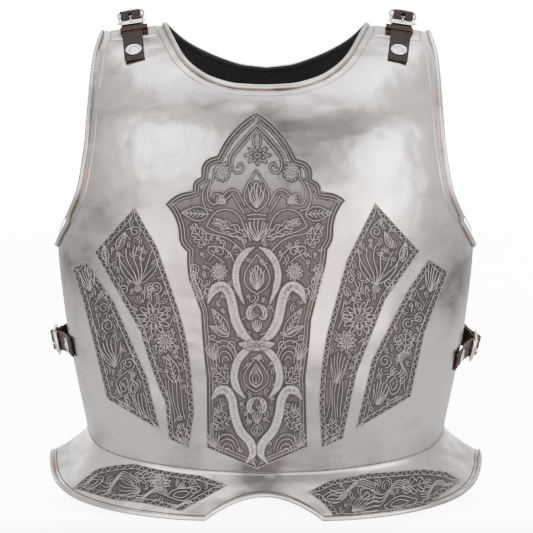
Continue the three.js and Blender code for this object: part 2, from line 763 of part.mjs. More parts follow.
// A rivet through plate and strap: its turned section from the axis outwards, standing on n = 0, the plate's outside.
// over is the height of the strap's top.
function rivetOf(over) {
  const inside = -steel - rivetRoom;
  const washer = over + fit;
  const face = washer + washerThickness;
  const profile = [
    [0, inside - rivetHeadHeight],
    [rivetHeadRadius * 0.7, inside - rivetHeadHeight],
    [rivetHeadRadius, inside],
    [rivetRadius, inside],
    [rivetRadius, washer],
    [washerRadius, washer],
    [washerRadius - 2 * fit, face],
    [rivetHeadRadius, face],
    [rivetHeadRadius * 0.7, face + rivetHeadHeight],
    [0, face + rivetHeadHeight],
  ].map(([x, y]) => new THREE.Vector2(x, y));
  return manifoldOf(new THREE.LatheGeometry(profile, roundSides));
}

function boreFor(over) {
  const geometry = new THREE.CylinderGeometry(rivetRadius + fit, rivetRadius + fit, 4 * over + 1.5 * washerRadius, roundSides);
  return manifoldOf(geometry);
}

function placed(solid, matrix) {
  return solid.transform(matrix.elements);
}

function strapSet(strap) {
  const frame = new StrapFrame(strap);
  const { layout } = frame;
  const slope = THREE.MathUtils.degToRad(layout.tilt);
  const dir = new THREE.Vector2(Math.cos(slope), Math.sin(slope));
  const up = new THREE.Vector2(-dir.y, dir.x);
  const onHem = strap.over === "shoulder" ? hemRise : 0;
  const half = strapThickness / 2;
  const chapeHalf = chapeThickness / 2;
  const edge = frame.above(0, 0, onHem);
  const bar = edge.clone().addScaledVector(dir, layout.along).addScaledVector(up, layout.off);
  const inBuckle = (s, n) => bar.clone().addScaledVector(dir, s).addScaledVector(up, n);
  const level = frame.matrix(bar, slope);

  const keeperRoom = strap.keeper ? keeperThickness + 3 * fit : 0;
  const lowest = seat + half;
  const underRoller = -rollerRadius - half - 2 * fit;
  const underArc = -wireRadius - half - 4 * fit;
  const chapeUnder = underArc - half - chapeHalf - 3 * fit;
  const landed = seat + 2 * fit + onHem + chapeHalf;
  const wrap = (radius, degrees) => {
    const a = THREE.MathUtils.degToRad(degrees);
    return inBuckle(radius * Math.cos(a), radius * Math.sin(a));
  };
  const overBar = chapeOuter + half + 2 * fit;
  const chapePlaces = [
    inBuckle(0, -barHole - chapeHalf),
    inBuckle(buckleRound * 0.68, chapeUnder),
    inBuckle(buckleRound, chapeUnder - 3 * seat),
    frame.above(1, layout.land - 0.6 * strapWidth, landed + 3 * seat),
    frame.above(1, layout.land, landed),
    frame.above(1, lerp(layout.land, layout.rear, 0.5), landed),
    frame.above(1, layout.rear, landed),
    frame.above(1, layout.rear + rivetMargin, landed),
  ];
  const chapeLine = lineThrough(chapePlaces, chapeSteps);
  const onChape = chapeLine
    .filter(({ p }) => {
      const past = p.clone().sub(bar).dot(dir);
      return past > buckleRound * 0.62 && past < buckleRound + tailLength;
    })
    .map(({ p, out }) => p.clone().addScaledVector(out, chapeHalf + half + 3 * fit));
  const clearOfPlate = strap.keeper
    ? [
        frame.above(0, hemWidth + 0.2 * strapWidth, lowest + 0.4 * onHem),
        frame.above(0, hemWidth - 0.1 * strapWidth, lowest + onHem + 0.4 * keeperRoom),
        frame.above(0, layout.free + keeperWidth / 2, lowest + onHem + keeperRoom),
        frame.above(0, layout.free - keeperWidth / 2, lowest + onHem + keeperRoom),
      ]
    : [frame.above(0, layout.free, lowest + seat)];
  const billetPlaces = [
    frame.above(0, layout.front + rivetMargin, lowest),
    frame.above(0, layout.front, lowest),
    ...clearOfPlate,
    inBuckle(-buckleReach, underRoller),
    inBuckle(-buckleReach + rollerRadius + 0.5 * half, underRoller + half + fit),
    wrap(overBar, 135),
    wrap(overBar, 90),
    wrap(overBar, 45),
    ...onChape,
  ];
  const billetLine = lineThrough(billetPlaces, billetSteps);

  const rivets = [0, 1].map((which) => {
    const { p, n } = frame.onPlate(which, which === 0 ? layout.front : layout.rear);
    const place = frame.flat(p);
    const lean = Math.atan2(n.dot(frame.n), n.dot(frame.u)) - Math.PI / 2;
    const over = which === 0 ? lowest + half : landed + chapeHalf;
    return { matrix: frame.matrix(place, lean), over };
  });
  const bores = rivets.map(({ matrix, over }) => placed(boreFor(over), matrix));

  const plain = frame.matrix(new THREE.Vector2(), 0);
  const prongGap = buckleReach - rollerRadius - chapeOuter;
  const billetSlot = block(prongGap + 2 * strapThickness, 6 * strapThickness, prongSlot, -chapeOuter - prongGap / 2, 0);
  const billet = placed(strip(billetLine, strapThickness, strapWidth), plain)
    .subtract(bores[0])
    .subtract(placed(billetSlot, level));
  const loop = ring(barHole, chapeOuter, strapWidth, roundSides);
  const chapeSlot = block(2 * chapeOuter, 2 * chapeOuter, prongSlot, -barHole * 0.2, chapeOuter * 0.2);
  const barBore = slab(arcPoints(barHole, 0, 2 * Math.PI, roundSides).slice(0, -1), 2 * strapWidth);
  const chape = placed(strip(chapeLine, chapeThickness, strapWidth), plain)
    .add(placed(loop, level))
    .subtract(placed(chapeSlot, level))
    .subtract(placed(barBore, level))
    .subtract(bores[1]);

  const pieces = {
    front_strap: { solid: billet, material: leather },
    buckle_strap: { solid: chape, material: leather },
    buckle_frame: { solid: placed(buckleFrame(), level), material: nickel },
    buckle_roller: { solid: placed(rollerSleeve(), level), material: nickel },
    buckle_prong: { solid: placed(prongOf(), level), material: nickel },
    front_rivet: { solid: placed(rivetOf(rivets[0].over), rivets[0].matrix), material: rivetMetal },
    back_rivet: { solid: placed(rivetOf(rivets[1].over), rivets[1].matrix), material: rivetMetal },
  };
  if (strap.keeper) {
    const insideHigh = strapThickness + 4 * fit;
    const insideWide = strapWidth + 2 * fit + keeperSlack;
    const grow = 2 * keeperThickness;
    const outer = block(keeperWidth, insideHigh + grow, insideWide + grow, 0, 0);
    const hole = block(keeperWidth * 2, insideHigh, insideWide, 0, 0);
    const middle = lowest + onHem + keeperRoom;
    const from = frame.above(0, layout.free + keeperWidth / 2, middle);
    const along = frame.above(0, layout.free - keeperWidth / 2, middle).sub(from);
    const place = from.clone().addScaledVector(along, 0.5);
    const band = outer.subtract(hole).translate([0, 0, -keeperSlack / 2]);
    pieces.keeper = { solid: placed(band, frame.matrix(place, along.angle())), material: leather };
  }
  // Built on the +X side; the wearer's right is its mirror image.
  const mirror = new THREE.Matrix4().makeScale(strap.side, 1, 1);
  for (const piece of Object.values(pieces)) piece.solid = placed(piece.solid, mirror);
  return { pieces, bores: bores.map((b) => placed(b, mirror)) };
}

const steelFinish = new THREE.MeshStandardMaterial({ color: 0xc9c6c2, roughness: 0.28, metalness: 1 });
const leather = new THREE.MeshStandardMaterial({ color: 0x2b2322, roughness: 0.6, metalness: 0 });
const nickel = new THREE.MeshStandardMaterial({ color: 0xcfcabd, roughness: 0.2, metalness: 1 });
const rivetMetal = new THREE.MeshStandardMaterial({ color: 0xd8d8d6, roughness: 0.35, metalness: 1 });

function meshOf(name, solid, material) {
  const mesh = new THREE.Mesh(geometryOf(solid), material);
  mesh.name = name;
  return mesh;
}

const cuirass = new THREE.Group();
cuirass.name = "cuirass";
let breastplate = plate(breast, breastGrid);
let backplate = plate(back, backGrid);
for (const side of [-1, 1]) {
  breastplate = breastplate.add(hem(breast, side));
  backplate = backplate.add(hem(back, side));
}
for (const strap of straps) {
  const { pieces, bores } = strapSet(strap);
  breastplate = breastplate.subtract(bores[0]);
  backplate = backplate.subtract(bores[1]);
  for (const [name, { solid, material }] of Object.entries(pieces))
    cuirass.add(meshOf(`${strap.name}_${name}`, solid, material));
}
cuirass.add(meshOf("breastplate", breastplate, steelFinish));
cuirass.add(meshOf("backplate", backplate, steelFinish));
cuirass.add(meshOf("front_flange", flange(breast, flangeOutFront, notchHeight), steelFinish));
cuirass.add(meshOf("back_flange", flange(back, flangeOutBack, 0), steelFinish));
// The origin is the centre of the footprint of the whole.
const middle = new THREE.Box3().setFromObject(cuirass).getCenter(v3());
cuirass.position.set(-middle.x, -middle.y, 0);

export default cuirass;
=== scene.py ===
"""Looks of a steel cuirass: smooth sheets with rolled edges, etched ornament, leather straps and buckles.

Metres. +Z is up, the wearer faces -Y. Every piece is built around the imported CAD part, at the same sizes.
"""

import json
import math
import random

import bmesh
import bpy
import numpy
from mathutils import Matrix, Vector
from mathutils.bvhtree import BVHTree
from mathutils.kdtree import KDTree

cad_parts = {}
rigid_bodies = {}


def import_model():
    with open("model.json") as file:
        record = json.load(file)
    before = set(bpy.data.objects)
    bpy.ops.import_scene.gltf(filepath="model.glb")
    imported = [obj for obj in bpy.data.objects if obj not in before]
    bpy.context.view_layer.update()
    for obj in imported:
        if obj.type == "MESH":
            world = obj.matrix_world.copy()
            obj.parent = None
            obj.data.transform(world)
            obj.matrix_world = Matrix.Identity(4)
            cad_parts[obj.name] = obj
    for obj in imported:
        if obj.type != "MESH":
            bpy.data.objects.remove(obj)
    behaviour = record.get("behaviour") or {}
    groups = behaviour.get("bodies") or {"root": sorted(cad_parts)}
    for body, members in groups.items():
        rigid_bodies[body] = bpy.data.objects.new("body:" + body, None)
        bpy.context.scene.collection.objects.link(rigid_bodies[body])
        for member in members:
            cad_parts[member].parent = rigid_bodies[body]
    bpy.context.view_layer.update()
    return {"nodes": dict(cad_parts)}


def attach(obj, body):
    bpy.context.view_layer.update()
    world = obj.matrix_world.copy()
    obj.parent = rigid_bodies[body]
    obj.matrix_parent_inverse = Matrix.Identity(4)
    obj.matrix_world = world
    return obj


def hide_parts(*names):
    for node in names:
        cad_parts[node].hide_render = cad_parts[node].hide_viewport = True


bl_info = {
    "name": "Steel cuirass",
    "version": (1, 0, 0),
    "blender": (4, 5, 0),
    "location": "View3D > Sidebar > Cuirass",
    "description": "Builds the looks of a steel cuirass around its CAD part",
    "category": "Object",
}

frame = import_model()
BODY = "root"
SIDES = (-1, 1)


def rows_of(names, *rows):
    """The rows of a table, with its columns by name."""
    return [dict(zip(names.split(), row)) for row in rows]


# Sections of the body. height: share of the way from the side of the waist to the shoulder line.
# width: share of half the chest width. breast, back: shares of each plate's depth.
# square: exponent of the section, which is 2 in an ellipse.
SECTIONS = rows_of(
    "height width breast back square",
    (-0.15, 0.82, 0.67, 0.7, 2.3),
    (0.0, 0.867, 0.77, 0.76, 2.35),
    (0.12, 0.913, 0.875, 0.83, 2.4),
    (0.28, 0.966, 0.965, 0.9, 2.4),
    (0.46, 1.0, 1.0, 0.96, 2.35),
    (0.6, 1.005, 0.975, 1.0, 2.3),
    (0.74, 0.995, 0.865, 0.98, 2.25),
    (0.84, 0.975, 0.69, 0.86, 2.2),
    (0.92, 0.945, 0.45, 0.62, 2.15),
    (1.0, 0.9, 0.085, 0.22, 2.1),
)
# Waist edge and flange rim, by the share of the turn from the middle to the side.
WAIST_LINE = rows_of(
    "turn waist rim",
    (0.0, 1.0, 0.0),
    (0.3, 0.95, 0.0),
    (0.55, 0.82, 0.06),
    (0.75, 0.62, 0.22),
    (0.88, 0.36, 0.5),
    (1.0, 0.0, 1.0),
)
# Arm edge. rise: from the armpit up. reach: how far out, from the shoulder corner (0) to the armpit (1).
ARM_EDGE = rows_of(
    "rise reach",
    (0.0, 1.0),
    (0.064, 0.85),
    (0.174, 0.575),
    (0.28, 0.38),
    (0.386, 0.29),
    (0.51, 0.22),
    (0.65, 0.185),
    (0.88, 0.125),
    (1.0, 0.0),
)
# Neck edge. out: share of half the neck span. breast, back: shares of each plate's neck drop.
NECK_EDGE = rows_of(
    "out breast back",
    (0.0, 0.0, 0.0),
    (0.25, 0.02, 0.06),
    (0.5, 0.12, 0.24),
    (0.68, 0.28, 0.43),
    (0.82, 0.5, 0.62),
    (0.92, 0.76, 0.81),
    (1.0, 1.0, 1.0),
)


# A spot of the steel's painted highlights, painted shade and smudges.
def painted_light_and_smudge(x, z, reach, amount):
    return {"x": x, "z": z, "reach": reach, "amount": amount}


def length(name, value, about):
    """A size in metres, shown in the sidebar."""
    return bpy.props.FloatProperty(
        name=name, description=about, default=value, unit="LENGTH", subtype="DISTANCE"
    )


def colour(name, value, about):
    """A colour, shown in the sidebar."""
    return bpy.props.FloatVectorProperty(
        name=name, description=about, default=value, size=3, min=0.0, max=1.0, subtype="COLOR"
    )


class CuirassSizes(bpy.types.PropertyGroup):
    """Sizes of the sheets, the relief and the buckles."""

    chest_width: length("Chest width", 0.416, "Across the armpits")
    breast_depth: length("Breast depth", 0.147, "Breastplate, from its side edges to its fullest point")
    back_depth: length("Back depth", 0.107, "Backplate, from its side edges to its fullest point")
    shoulder_height: length("Shoulder height", 0.472, "Neck ends of the shoulders")
    shoulder_fall: length("Shoulder fall", 0.006, "How much lower the shoulders' outer ends are")
    waist_height: length("Waist height", 0.073, "Waist edge at the sides")
    breast_dip: length("Breast dip", 0.034, "How far the waist edge sinks at the front")
    back_dip: length("Back dip", 0.02, "How far the waist edge sinks at the back")
    armpit_height: length("Armpit height", 0.254, "Lower end of the arm edge")
    shoulder_span: length("Shoulder span", 0.318, "Across the outer corners of the shoulders")
    neck_span: length("Neck span", 0.206, "Across the neck corners")
    breast_neck_drop: length("Front neck drop", 0.063, "Front neckline below the shoulders")
    back_neck_drop: length("Back neck drop", 0.045, "Back neckline below the shoulders")
    side_joint: length("Side joint", 0.005, "Half the space between the two plates")
    depth_shift: length("Depth shift", 0.015, "From the side plane to the middle of the footprint")
    steel: length("Sheet", 0.0013, "Thickness of the sheet steel")
    skin_sink: length("Relief room", 0.0011, "Smooth breast inside the CAD's, for the relief")
    roll_radius: length("Rolled edge", 0.0026, "Radius of the rolled neck and arm edges")
    rim_radius: length("Rolled rim", 0.0023, "Radius of the flanges' rolled rims")
    ridge_in: length("Ridge inset", 0.0068, "Second ridge, from the rolled edge")
    ridge_radius: length("Ridge", 0.0008, "Radius of the second ridge")
    hem_rise: length("Hem rise", 0.0012, "Folded hem over a shoulder")
    hem_width: length("Hem width", 0.018, "The same, along the plate")
    hem_margin: length("Hem margin", 0.005, "Hem's ends from the neck and arm edges")
    lap: length("Lap", 0.009, "Flange tucked up behind the waist edge")
    lap_fit: length("Lap clearance", 0.00045, "Between a plate and the flange behind it")
    seam_drop: length("Seam drop", 0.0018, "Where the flare starts, below the waist edge")
    foot_flat: length("Foot flat", 0.0005, "How much of the rolled rim is worn flat where it stands")
    flange_front: length("Front flare", 0.038, "How far the front flange flares out")
    flange_side: length("Side flare", 0.035, "The same at the sides")
    flange_back: length("Back flare", 0.034, "The same at the back")
    rim_rise: length("Rim rise", 0.042, "The rim's side ends above its foot")
    notch_width: length("Notch width", 0.112, "Arch cut in the middle of the front flange")
    notch_height: length("Notch height", 0.027, "The same, along the flange")
    stroke: length("Stroke", 0.00044, "Radius of the raised lines of the ornament")
    shade: length("Shade line", 0.0006, "Radius of the dark lines beside them")
    ground_lift: length("Ground lift", 0.00012, "Etched ground over the plate")
    band_lift: length("Band lift", 0.00035, "Broad bands of the ornament over the plate")
    wire: length("Wire", 0.0014, "Radius of a buckle frame's wire")
    roller: length("Roller", 0.0024, "Radius of a buckle's roller")
    prong: length("Prong", 0.001, "Radius of a buckle's prong")
    buckle_reach: length("Buckle reach", 0.013, "Roller to centre bar")
    buckle_round: length("Buckle round", 0.014, "Centre bar to round end")
    buckle_half: length("Buckle half", 0.0129, "Half the width of a buckle between its wires' centres")
    washer: length("Washer", 0.008, "Radius of the washers on the straps")
    rivet_head: length("Rivet head", 0.0032, "Radius of the rivet heads")
    groove_in: length("Groove inset", 0.0038, "Dark line along a flange, from its rim")
    seam_in: length("Seam inset", 0.0016, "Dark line along the waist, from a plate's lower edge")
    groove: length("Groove", 0.0007, "Radius of that line")
    bevel: length("Leather edge", 0.00035, "Rounding of the leather's edges")


class CuirassColours(bpy.types.PropertyGroup):
    """Colours of the metals and the leather."""

    steel: colour("Steel", (0.56, 0.522, 0.495), "Polished steel")
    # The darkest steel: where painted shade, random clouds and wear darken the steel
    steel_shade_and_wear: colour("Dull steel", (0.13, 0.121, 0.116), "Clouded and worn steel")
    stain: colour("Stain", (0.4, 0.345, 0.27), "Faint yellow stains")
    ground: colour("Etched ground", (0.043, 0.0365, 0.033), "Ground of the etched panels")
    head: colour("Faded etching", (0.2, 0.184, 0.175), "Ground of the central panel's head")
    # Painted shade of the etched ground beside the raised lines
    ground_line_shade: colour("Dark ground", (0.014, 0.0125, 0.012), "The same beside the raised lines")
    line: colour("Raised line", (0.24, 0.224, 0.212), "Raised lines of the ornament")
    shade: colour("Shade line", (0.05, 0.045, 0.042), "Dark lines beside them")
    inside: colour("Inside", (0.004, 0.004, 0.004), "Blackened inside of the plates")
    leather: colour("Leather", (0.016, 0.012, 0.012), "Straps")
    cut: colour("Cut leather", (0.05, 0.024, 0.018), "Cut edges of the straps")
    nickel: colour("Nickel", (0.66, 0.63, 0.56), "Buckles")
    washer: colour("Washer", (0.7, 0.69, 0.68), "Washers and rivets")
    floor: colour("Floor", (0.88, 0.88, 0.88), "Studio floor")


def sizes():
    """The sizes, as the sidebar has them."""
    return bpy.context.scene.cuirass_sizes


def colours():
    """The colours, as the sidebar has them."""
    return bpy.context.scene.cuirass_colours


def lerp(a, b, t):
    """The value between a (t = 0) and b (t = 1)."""
    return a + (b - a) * t


def smoothstep(t):
    """0 below 0, 1 above 1, and smooth between them."""
    c = min(1.0, max(0.0, t))
    return c * c * (3 - 2 * c)


def curve_through(rows, start, end):
    """A smooth curve through the rows of a table that never overshoots them."""
    xs = [row[start] for row in rows]
    ys = [row[end] for row in rows]
    last = len(xs) - 1
    slope = [(ys[i + 1] - ys[i]) / (xs[i + 1] - xs[i]) for i in range(last)]
    tangent = [slope[0]]
    for i in range(1, last):
        if slope[i - 1] * slope[i] <= 0:
            tangent.append(0.0)
            continue
        before = xs[i] - xs[i - 1]
        after = xs[i + 1] - xs[i]
        w = 2 * after + before
        u = after + 2 * before
        tangent.append((w + u) / (w / slope[i - 1] + u / slope[i]))
    tangent.append(slope[last - 1])

    def value(x):
        i = 0
        while i < last - 1 and x > xs[i + 1]:
            i += 1
        step = xs[i + 1] - xs[i]
        t = (x - xs[i]) / step
        t2 = t * t
        t3 = t2 * t
        return (
            (2 * t3 - 3 * t2 + 1) * ys[i]
            + (t3 - 2 * t2 + t) * step * tangent[i]
            + (3 * t2 - 2 * t3) * ys[i + 1]
            + (t3 - t2) * step * tangent[i + 1]
        )

    return value


def solve(f, target, low, high):
    """The value at which a rising function reaches a target."""
    for _ in range(32):
        middle = (low + high) / 2
        if f(middle) < target:
            low = middle
        else:
            high = middle
    return (low + high) / 2


WIDTH_AT = curve_through(SECTIONS, "height", "width")
SQUARE_AT = curve_through(SECTIONS, "height", "square")
WAIST_AT = curve_through(WAIST_LINE, "turn", "waist")
RIM_AT = curve_through(WAIST_LINE, "turn", "rim")
ARM_REACH = curve_through(ARM_EDGE, "rise", "reach")


class Body:
    """The front (facing -1) or back (facing 1) of the body surface that the sheets lie on."""

    def __init__(self, facing):
        s = sizes()
        self.facing = facing
        column = "breast" if facing < 0 else "back"
        self.depth = s.breast_depth if facing < 0 else s.back_depth
        self.dip = s.breast_dip if facing < 0 else s.back_dip
        self.drop = s.breast_neck_drop if facing < 0 else s.back_neck_drop
        self.flare = s.flange_front if facing < 0 else s.flange_back
        self.sink = s.skin_sink if facing < 0 else 0.0
        self.depth_at = curve_through(SECTIONS, "height", column)
        self.neck_rise = curve_through(NECK_EDGE, "out", column)

    def radius(self, angle, z):
        s = sizes()
        share = (z - s.waist_height) / (s.shoulder_height - s.waist_height)
        n = SQUARE_AT(share)
        a = WIDTH_AT(share) * s.chest_width / 2
        d = self.depth_at(share) * self.depth
        c = abs(math.cos(angle)) / d
        w = abs(math.sin(angle)) / a
        return (c**n + w**n) ** (-1 / n)

    def point(self, angle, z):
        s = sizes()
        r = self.radius(angle, z)
        r -= self.sink * abs(math.cos(angle)) ** 0.5
        deep = self.facing * (s.side_joint + r * math.cos(angle)) + s.depth_shift
        return Vector((r * math.sin(angle), deep, z))

    def normal(self, angle, z):
        e = 1e-3
        along = self.point(angle + e, z) - self.point(angle - e, z)
        up = self.point(angle, z + e / 10) - self.point(angle, z - e / 10)
        return (along.cross(up) * -self.facing).normalized()

    def angle_at(self, x, z):
        return solve(lambda angle: self.radius(angle, z) * math.sin(angle), x, 0, math.pi / 2)

    def waist(self, angle):
        return sizes().waist_height - self.dip * WAIST_AT(abs(angle) / (math.pi / 2))

    def onto(self, place):
        """The nearest place on the surface, along the line from the body's middle, and its normal."""
        s = sizes()
        deep = self.facing * (place.y - s.depth_shift) - s.side_joint
        angle = math.atan2(abs(place.x), deep)
        p = self.point(angle, place.z)
        n = self.normal(angle, place.z)
        if place.x < 0:
            p.x = -p.x
            n.x = -n.x
        return p, n


def top_at(x):
    """Height of the shoulder edge at a distance from the middle."""
    s = sizes()
    share = (x - s.neck_span / 2) / (s.shoulder_span / 2 - s.neck_span / 2)
    return s.shoulder_height - s.shoulder_fall * share


# How the sheets are divided: rows up to where the neck and the arm edges begin, rows in all, and columns.
BREAST_GRID = {"neck": 45, "arm": 25, "rows": 70, "columns": 52}
BACK_GRID = {"neck": 42, "arm": 24, "rows": 66, "columns": 40}
FLANGE_GRID = {"flare": 18, "rows": 21}
NOTCH_SHARE = 5 / 13
NOTCH_TURN = 1.74


def turn_at(body, u):
    """Turn of a sheet's column, closer together within the notch of the front flange."""
    if body.facing > 0:
        return u * math.pi / 2
    s = sizes()
    corner = math.asin(s.notch_width / s.chest_width) * NOTCH_TURN
    if u < NOTCH_SHARE:
        return corner * u / NOTCH_SHARE
    return lerp(corner, math.pi / 2, (u - NOTCH_SHARE) / (1 - NOTCH_SHARE))


def left_side(body, grid, v):
    """The half plate's inner side: the middle line, and above it the neck edge, as (angle, height)."""
    s = sizes()
    low = s.shoulder_height - body.drop
    split = grid["neck"] / grid["rows"]
    if v <= split:
        return 0.0, lerp(body.waist(0), low, v / split)
    out = math.sin((v - split) / (1 - split) * math.pi / 2) ** 0.9
    z = low + body.drop * body.neck_rise(out)
    return body.angle_at(s.neck_span / 2 * out, z), z


def right_side(body, grid, v):
    """The half plate's outer side: the side edge, and above it the arm edge."""
    s = sizes()
    split = grid["arm"] / grid["rows"]
    if v <= split:
        return math.pi / 2, lerp(s.waist_height, s.armpit_height, v / split)
    rise = (v - split) / (1 - split)
    z = lerp(s.armpit_height, s.shoulder_height - s.shoulder_fall, rise)
    share = (s.armpit_height - s.waist_height) / (s.shoulder_height - s.waist_height)
    armpit = WIDTH_AT(share) * s.chest_width / 2
    return body.angle_at(lerp(s.shoulder_span / 2, armpit, ARM_REACH(rise)), z), z


def plate_place(body, grid, u, v, cache):
    """(angle, height) of a place in the half plate, blended from its four sides."""

    def kept(key, make):
        if key not in cache:
            cache[key] = make()
        return cache[key]

    def top(t):
        s = sizes()
        x = lerp(s.neck_span / 2, s.shoulder_span / 2, t)
        return body.angle_at(x, top_at(x)), top_at(x)

    left = kept(("left", v), lambda: left_side(body, grid, v))
    right = kept(("right", v), lambda: right_side(body, grid, v))
    low = kept(("low", u), lambda: (turn_at(body, u), body.waist(turn_at(body, u))))
    high = kept(("high", u), lambda: top(u))
    corners = kept(
        "corners",
        lambda: [
            (0.0, body.waist(0)),
            right_side(body, grid, 0.0),
            left_side(body, grid, 1.0),
            right_side(body, grid, 1.0),
        ],
    )
    return [
        (1 - u) * left[c]
        + u * right[c]
        + (1 - v) * low[c]
        + v * high[c]
        - (1 - u) * (1 - v) * corners[0][c]
        - u * (1 - v) * corners[1][c]
        - (1 - u) * v * corners[2][c]
        - u * v * corners[3][c]
        for c in (0, 1)
    ]


def flare_point(body, angle, t):
    """A place of a flange's outside, from the seam at the waist (0) to the rim (1)."""
    s = sizes()
    share = abs(angle) / (math.pi / 2)
    start = body.waist(angle) - s.seam_drop
    n = body.normal(angle, start)
    top = body.point(angle, start) - n * (s.steel + s.lap_fit)
    level = Vector((n.x, n.y, 0)).normalized()
    reach = lerp(body.flare, s.flange_side, smoothstep(share)) + s.steel + s.lap_fit
    low = s.rim_radius - s.foot_flat + s.rim_rise * RIM_AT(share)
    away = 2 * (1 - t) * t * 0.2 * reach + t * t * reach
    knee = lerp(top.z, low, 0.42)
    p = top + level * away
    p.z = (1 - t) * (1 - t) * top.z + 2 * (1 - t) * t * knee + t * t * low
    return p


def flange_edge(body, u):
    """How far down the flange reaches in a column: all the way, but for the notch."""
    if body.facing > 0 or u >= NOTCH_SHARE:
        return 1.0
    s = sizes()
    corner = turn_at(body, NOTCH_SHARE)
    slant = (flare_point(body, corner, 1) - flare_point(body, corner, 0)).length
    return 1 - s.notch_height / slant * math.cos(u / NOTCH_SHARE * math.pi / 2) ** 0.8


def flange_point(body, u, v):
    """A place of a flange's outside, from its rim (0) to its hidden upper edge (1)."""
    s = sizes()
    angle = turn_at(body, u)
    split = FLANGE_GRID["flare"] / FLANGE_GRID["rows"]
    if v <= split:
        return flare_point(body, angle, flange_edge(body, u) * (1 - v / split))
    z = body.waist(angle) + s.lap
    top = body.point(angle, z) - body.normal(angle, z) * (s.steel + s.lap_fit)
    return flare_point(body, angle, 0).lerp(top, (v - split) / (1 - split))


# Meshes and objects
def link(name, data):
    """A new piece of the object, which moves with its body."""
    piece = bpy.data.objects.new(name, data)
    bpy.context.scene.collection.objects.link(piece)
    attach(piece, BODY)
    return piece


def mesh_from(name, bm, *materials):
    """A smooth mesh with its materials, whose normals are recalculated."""
    data = bpy.data.meshes.new(name)
    bmesh.ops.recalc_face_normals(bm, faces=bm.faces)
    bm.to_mesh(data)
    bm.free()
    data.shade_smooth()
    for material in materials:
        data.materials.append(material)
    return data


def grid_mesh(columns, rows, place):
    """A grid whose vertices are moved to where place(u, v) says."""
    bm = bmesh.new()
    bmesh.ops.create_grid(bm, x_segments=columns, y_segments=rows, size=0.5)
    for vert in bm.verts:
        u = round((vert.co.x + 0.5) * columns) / columns
        v = round((vert.co.y + 0.5) * rows) / rows
        vert.co = place(u, v)
    return bm


def mirrored(bm):
    """A half sheet joined to its mirror image across x = 0."""
    bmesh.ops.mirror(bm, geom=bm.verts[:] + bm.edges[:] + bm.faces[:], merge_dist=1e-6, axis="X")
    bmesh.ops.remove_doubles(bm, verts=bm.verts, dist=1e-6)
    return bm


def facing_out(bm, facing):
    """Turns an open sheet so that its outside faces away from the body."""
    bmesh.ops.recalc_face_normals(bm, faces=bm.faces)
    total = sum((face.normal.y * face.calc_area() for face in bm.faces), 0.0)
    if total * facing < 0:
        bmesh.ops.reverse_faces(bm, faces=bm.faces)
    return bm


def sheet_object(name, bm, body, outside, inside):
    """A sheet of steel thickened inwards, blackened inside."""
    facing_out(bm, body.facing)
    data = bpy.data.meshes.new(name)
    # The painted highlights, painted shade and smudges of the steel are written into the sheet.
    paint_light_and_smudges(bm)
    bm.edges.index_update()
    rims = [edge.index for edge in bm.edges if edge.is_boundary]
    bm.to_mesh(data)
    bm.free()
    data.shade_smooth()
    for k in rims:
        data.edges[k].use_edge_sharp = True
    data.materials.append(outside)
    data.materials.append(inside)
    piece = link(name, data)
    wall = piece.modifiers.new("Sheet", "SOLIDIFY")
    wall.thickness = sizes().steel
    wall.offset = -1
    wall.material_offset = 1
    wall.material_offset_rim = 0
    return piece


# Painted highlights and painted shade of the steel, in the sheet's own x and z and a soft reach, all in
# metres:
# bright patches on the upper chest and low at the sides, darker at the side edges and in patches across the
# chest, and darker at the middle and the ends of the waist edge, partly smudges and partly painted shade
# above the seam.
# amount is above 0 for a painted highlight, and below 0 for painted shade and for the smudges.
PAINTED_LIGHT_AND_SMUDGES = (
    painted_light_and_smudge(-0.01, 0.39, 0.065, -0.8),
    painted_light_and_smudge(-0.008, 0.038, 0.021, -1.5),
    painted_light_and_smudge(0.06, 0.37, 0.035, 0.2),
    painted_light_and_smudge(-0.075, 0.345, 0.045, -0.55),
    painted_light_and_smudge(0.075, 0.36, 0.035, -0.4),
    painted_light_and_smudge(-0.045, 0.3, 0.05, -0.3),
    painted_light_and_smudge(-0.085, 0.43, 0.022, 0.5),
    painted_light_and_smudge(-0.15, 0.362, 0.022, 0.8),
    painted_light_and_smudge(-0.135, 0.335, 0.03, 0.5),
    painted_light_and_smudge(-0.14, 0.43, 0.03, 0.5),
    painted_light_and_smudge(0.14, 0.345, 0.045, 0.8),
    painted_light_and_smudge(0.14, 0.43, 0.03, 0.5),
    painted_light_and_smudge(-0.06, 0.16, 0.06, -0.5),
    painted_light_and_smudge(-0.15, 0.1, 0.06, 0.9),
    painted_light_and_smudge(0.15, 0.1, 0.06, 0.9),
    painted_light_and_smudge(-0.2, 0.23, 0.035, -0.75),
    painted_light_and_smudge(0.2, 0.23, 0.04, -0.85),
    painted_light_and_smudge(-0.005, 0.044, 0.025, -0.7),
    painted_light_and_smudge(-0.155, 0.07, 0.02, -0.7),
    painted_light_and_smudge(0.16, 0.07, 0.02, -0.7),
)


def paint_light_and_smudges(bm):
    """Writes the painted highlights, painted shade and smudges of the steel into the mesh."""
    layer = bm.verts.layers.float.new("painted_light_and_smudge")
    for vert in bm.verts:
        total = 0.0
        for spot in PAINTED_LIGHT_AND_SMUDGES:
            away = ((vert.co.x - spot["x"]) ** 2 + (vert.co.z - spot["z"]) ** 2) / spot["reach"] ** 2
            total += spot["amount"] * math.exp(-away)
        vert[layer] = total if vert.co.y < sizes().depth_shift else 0.0


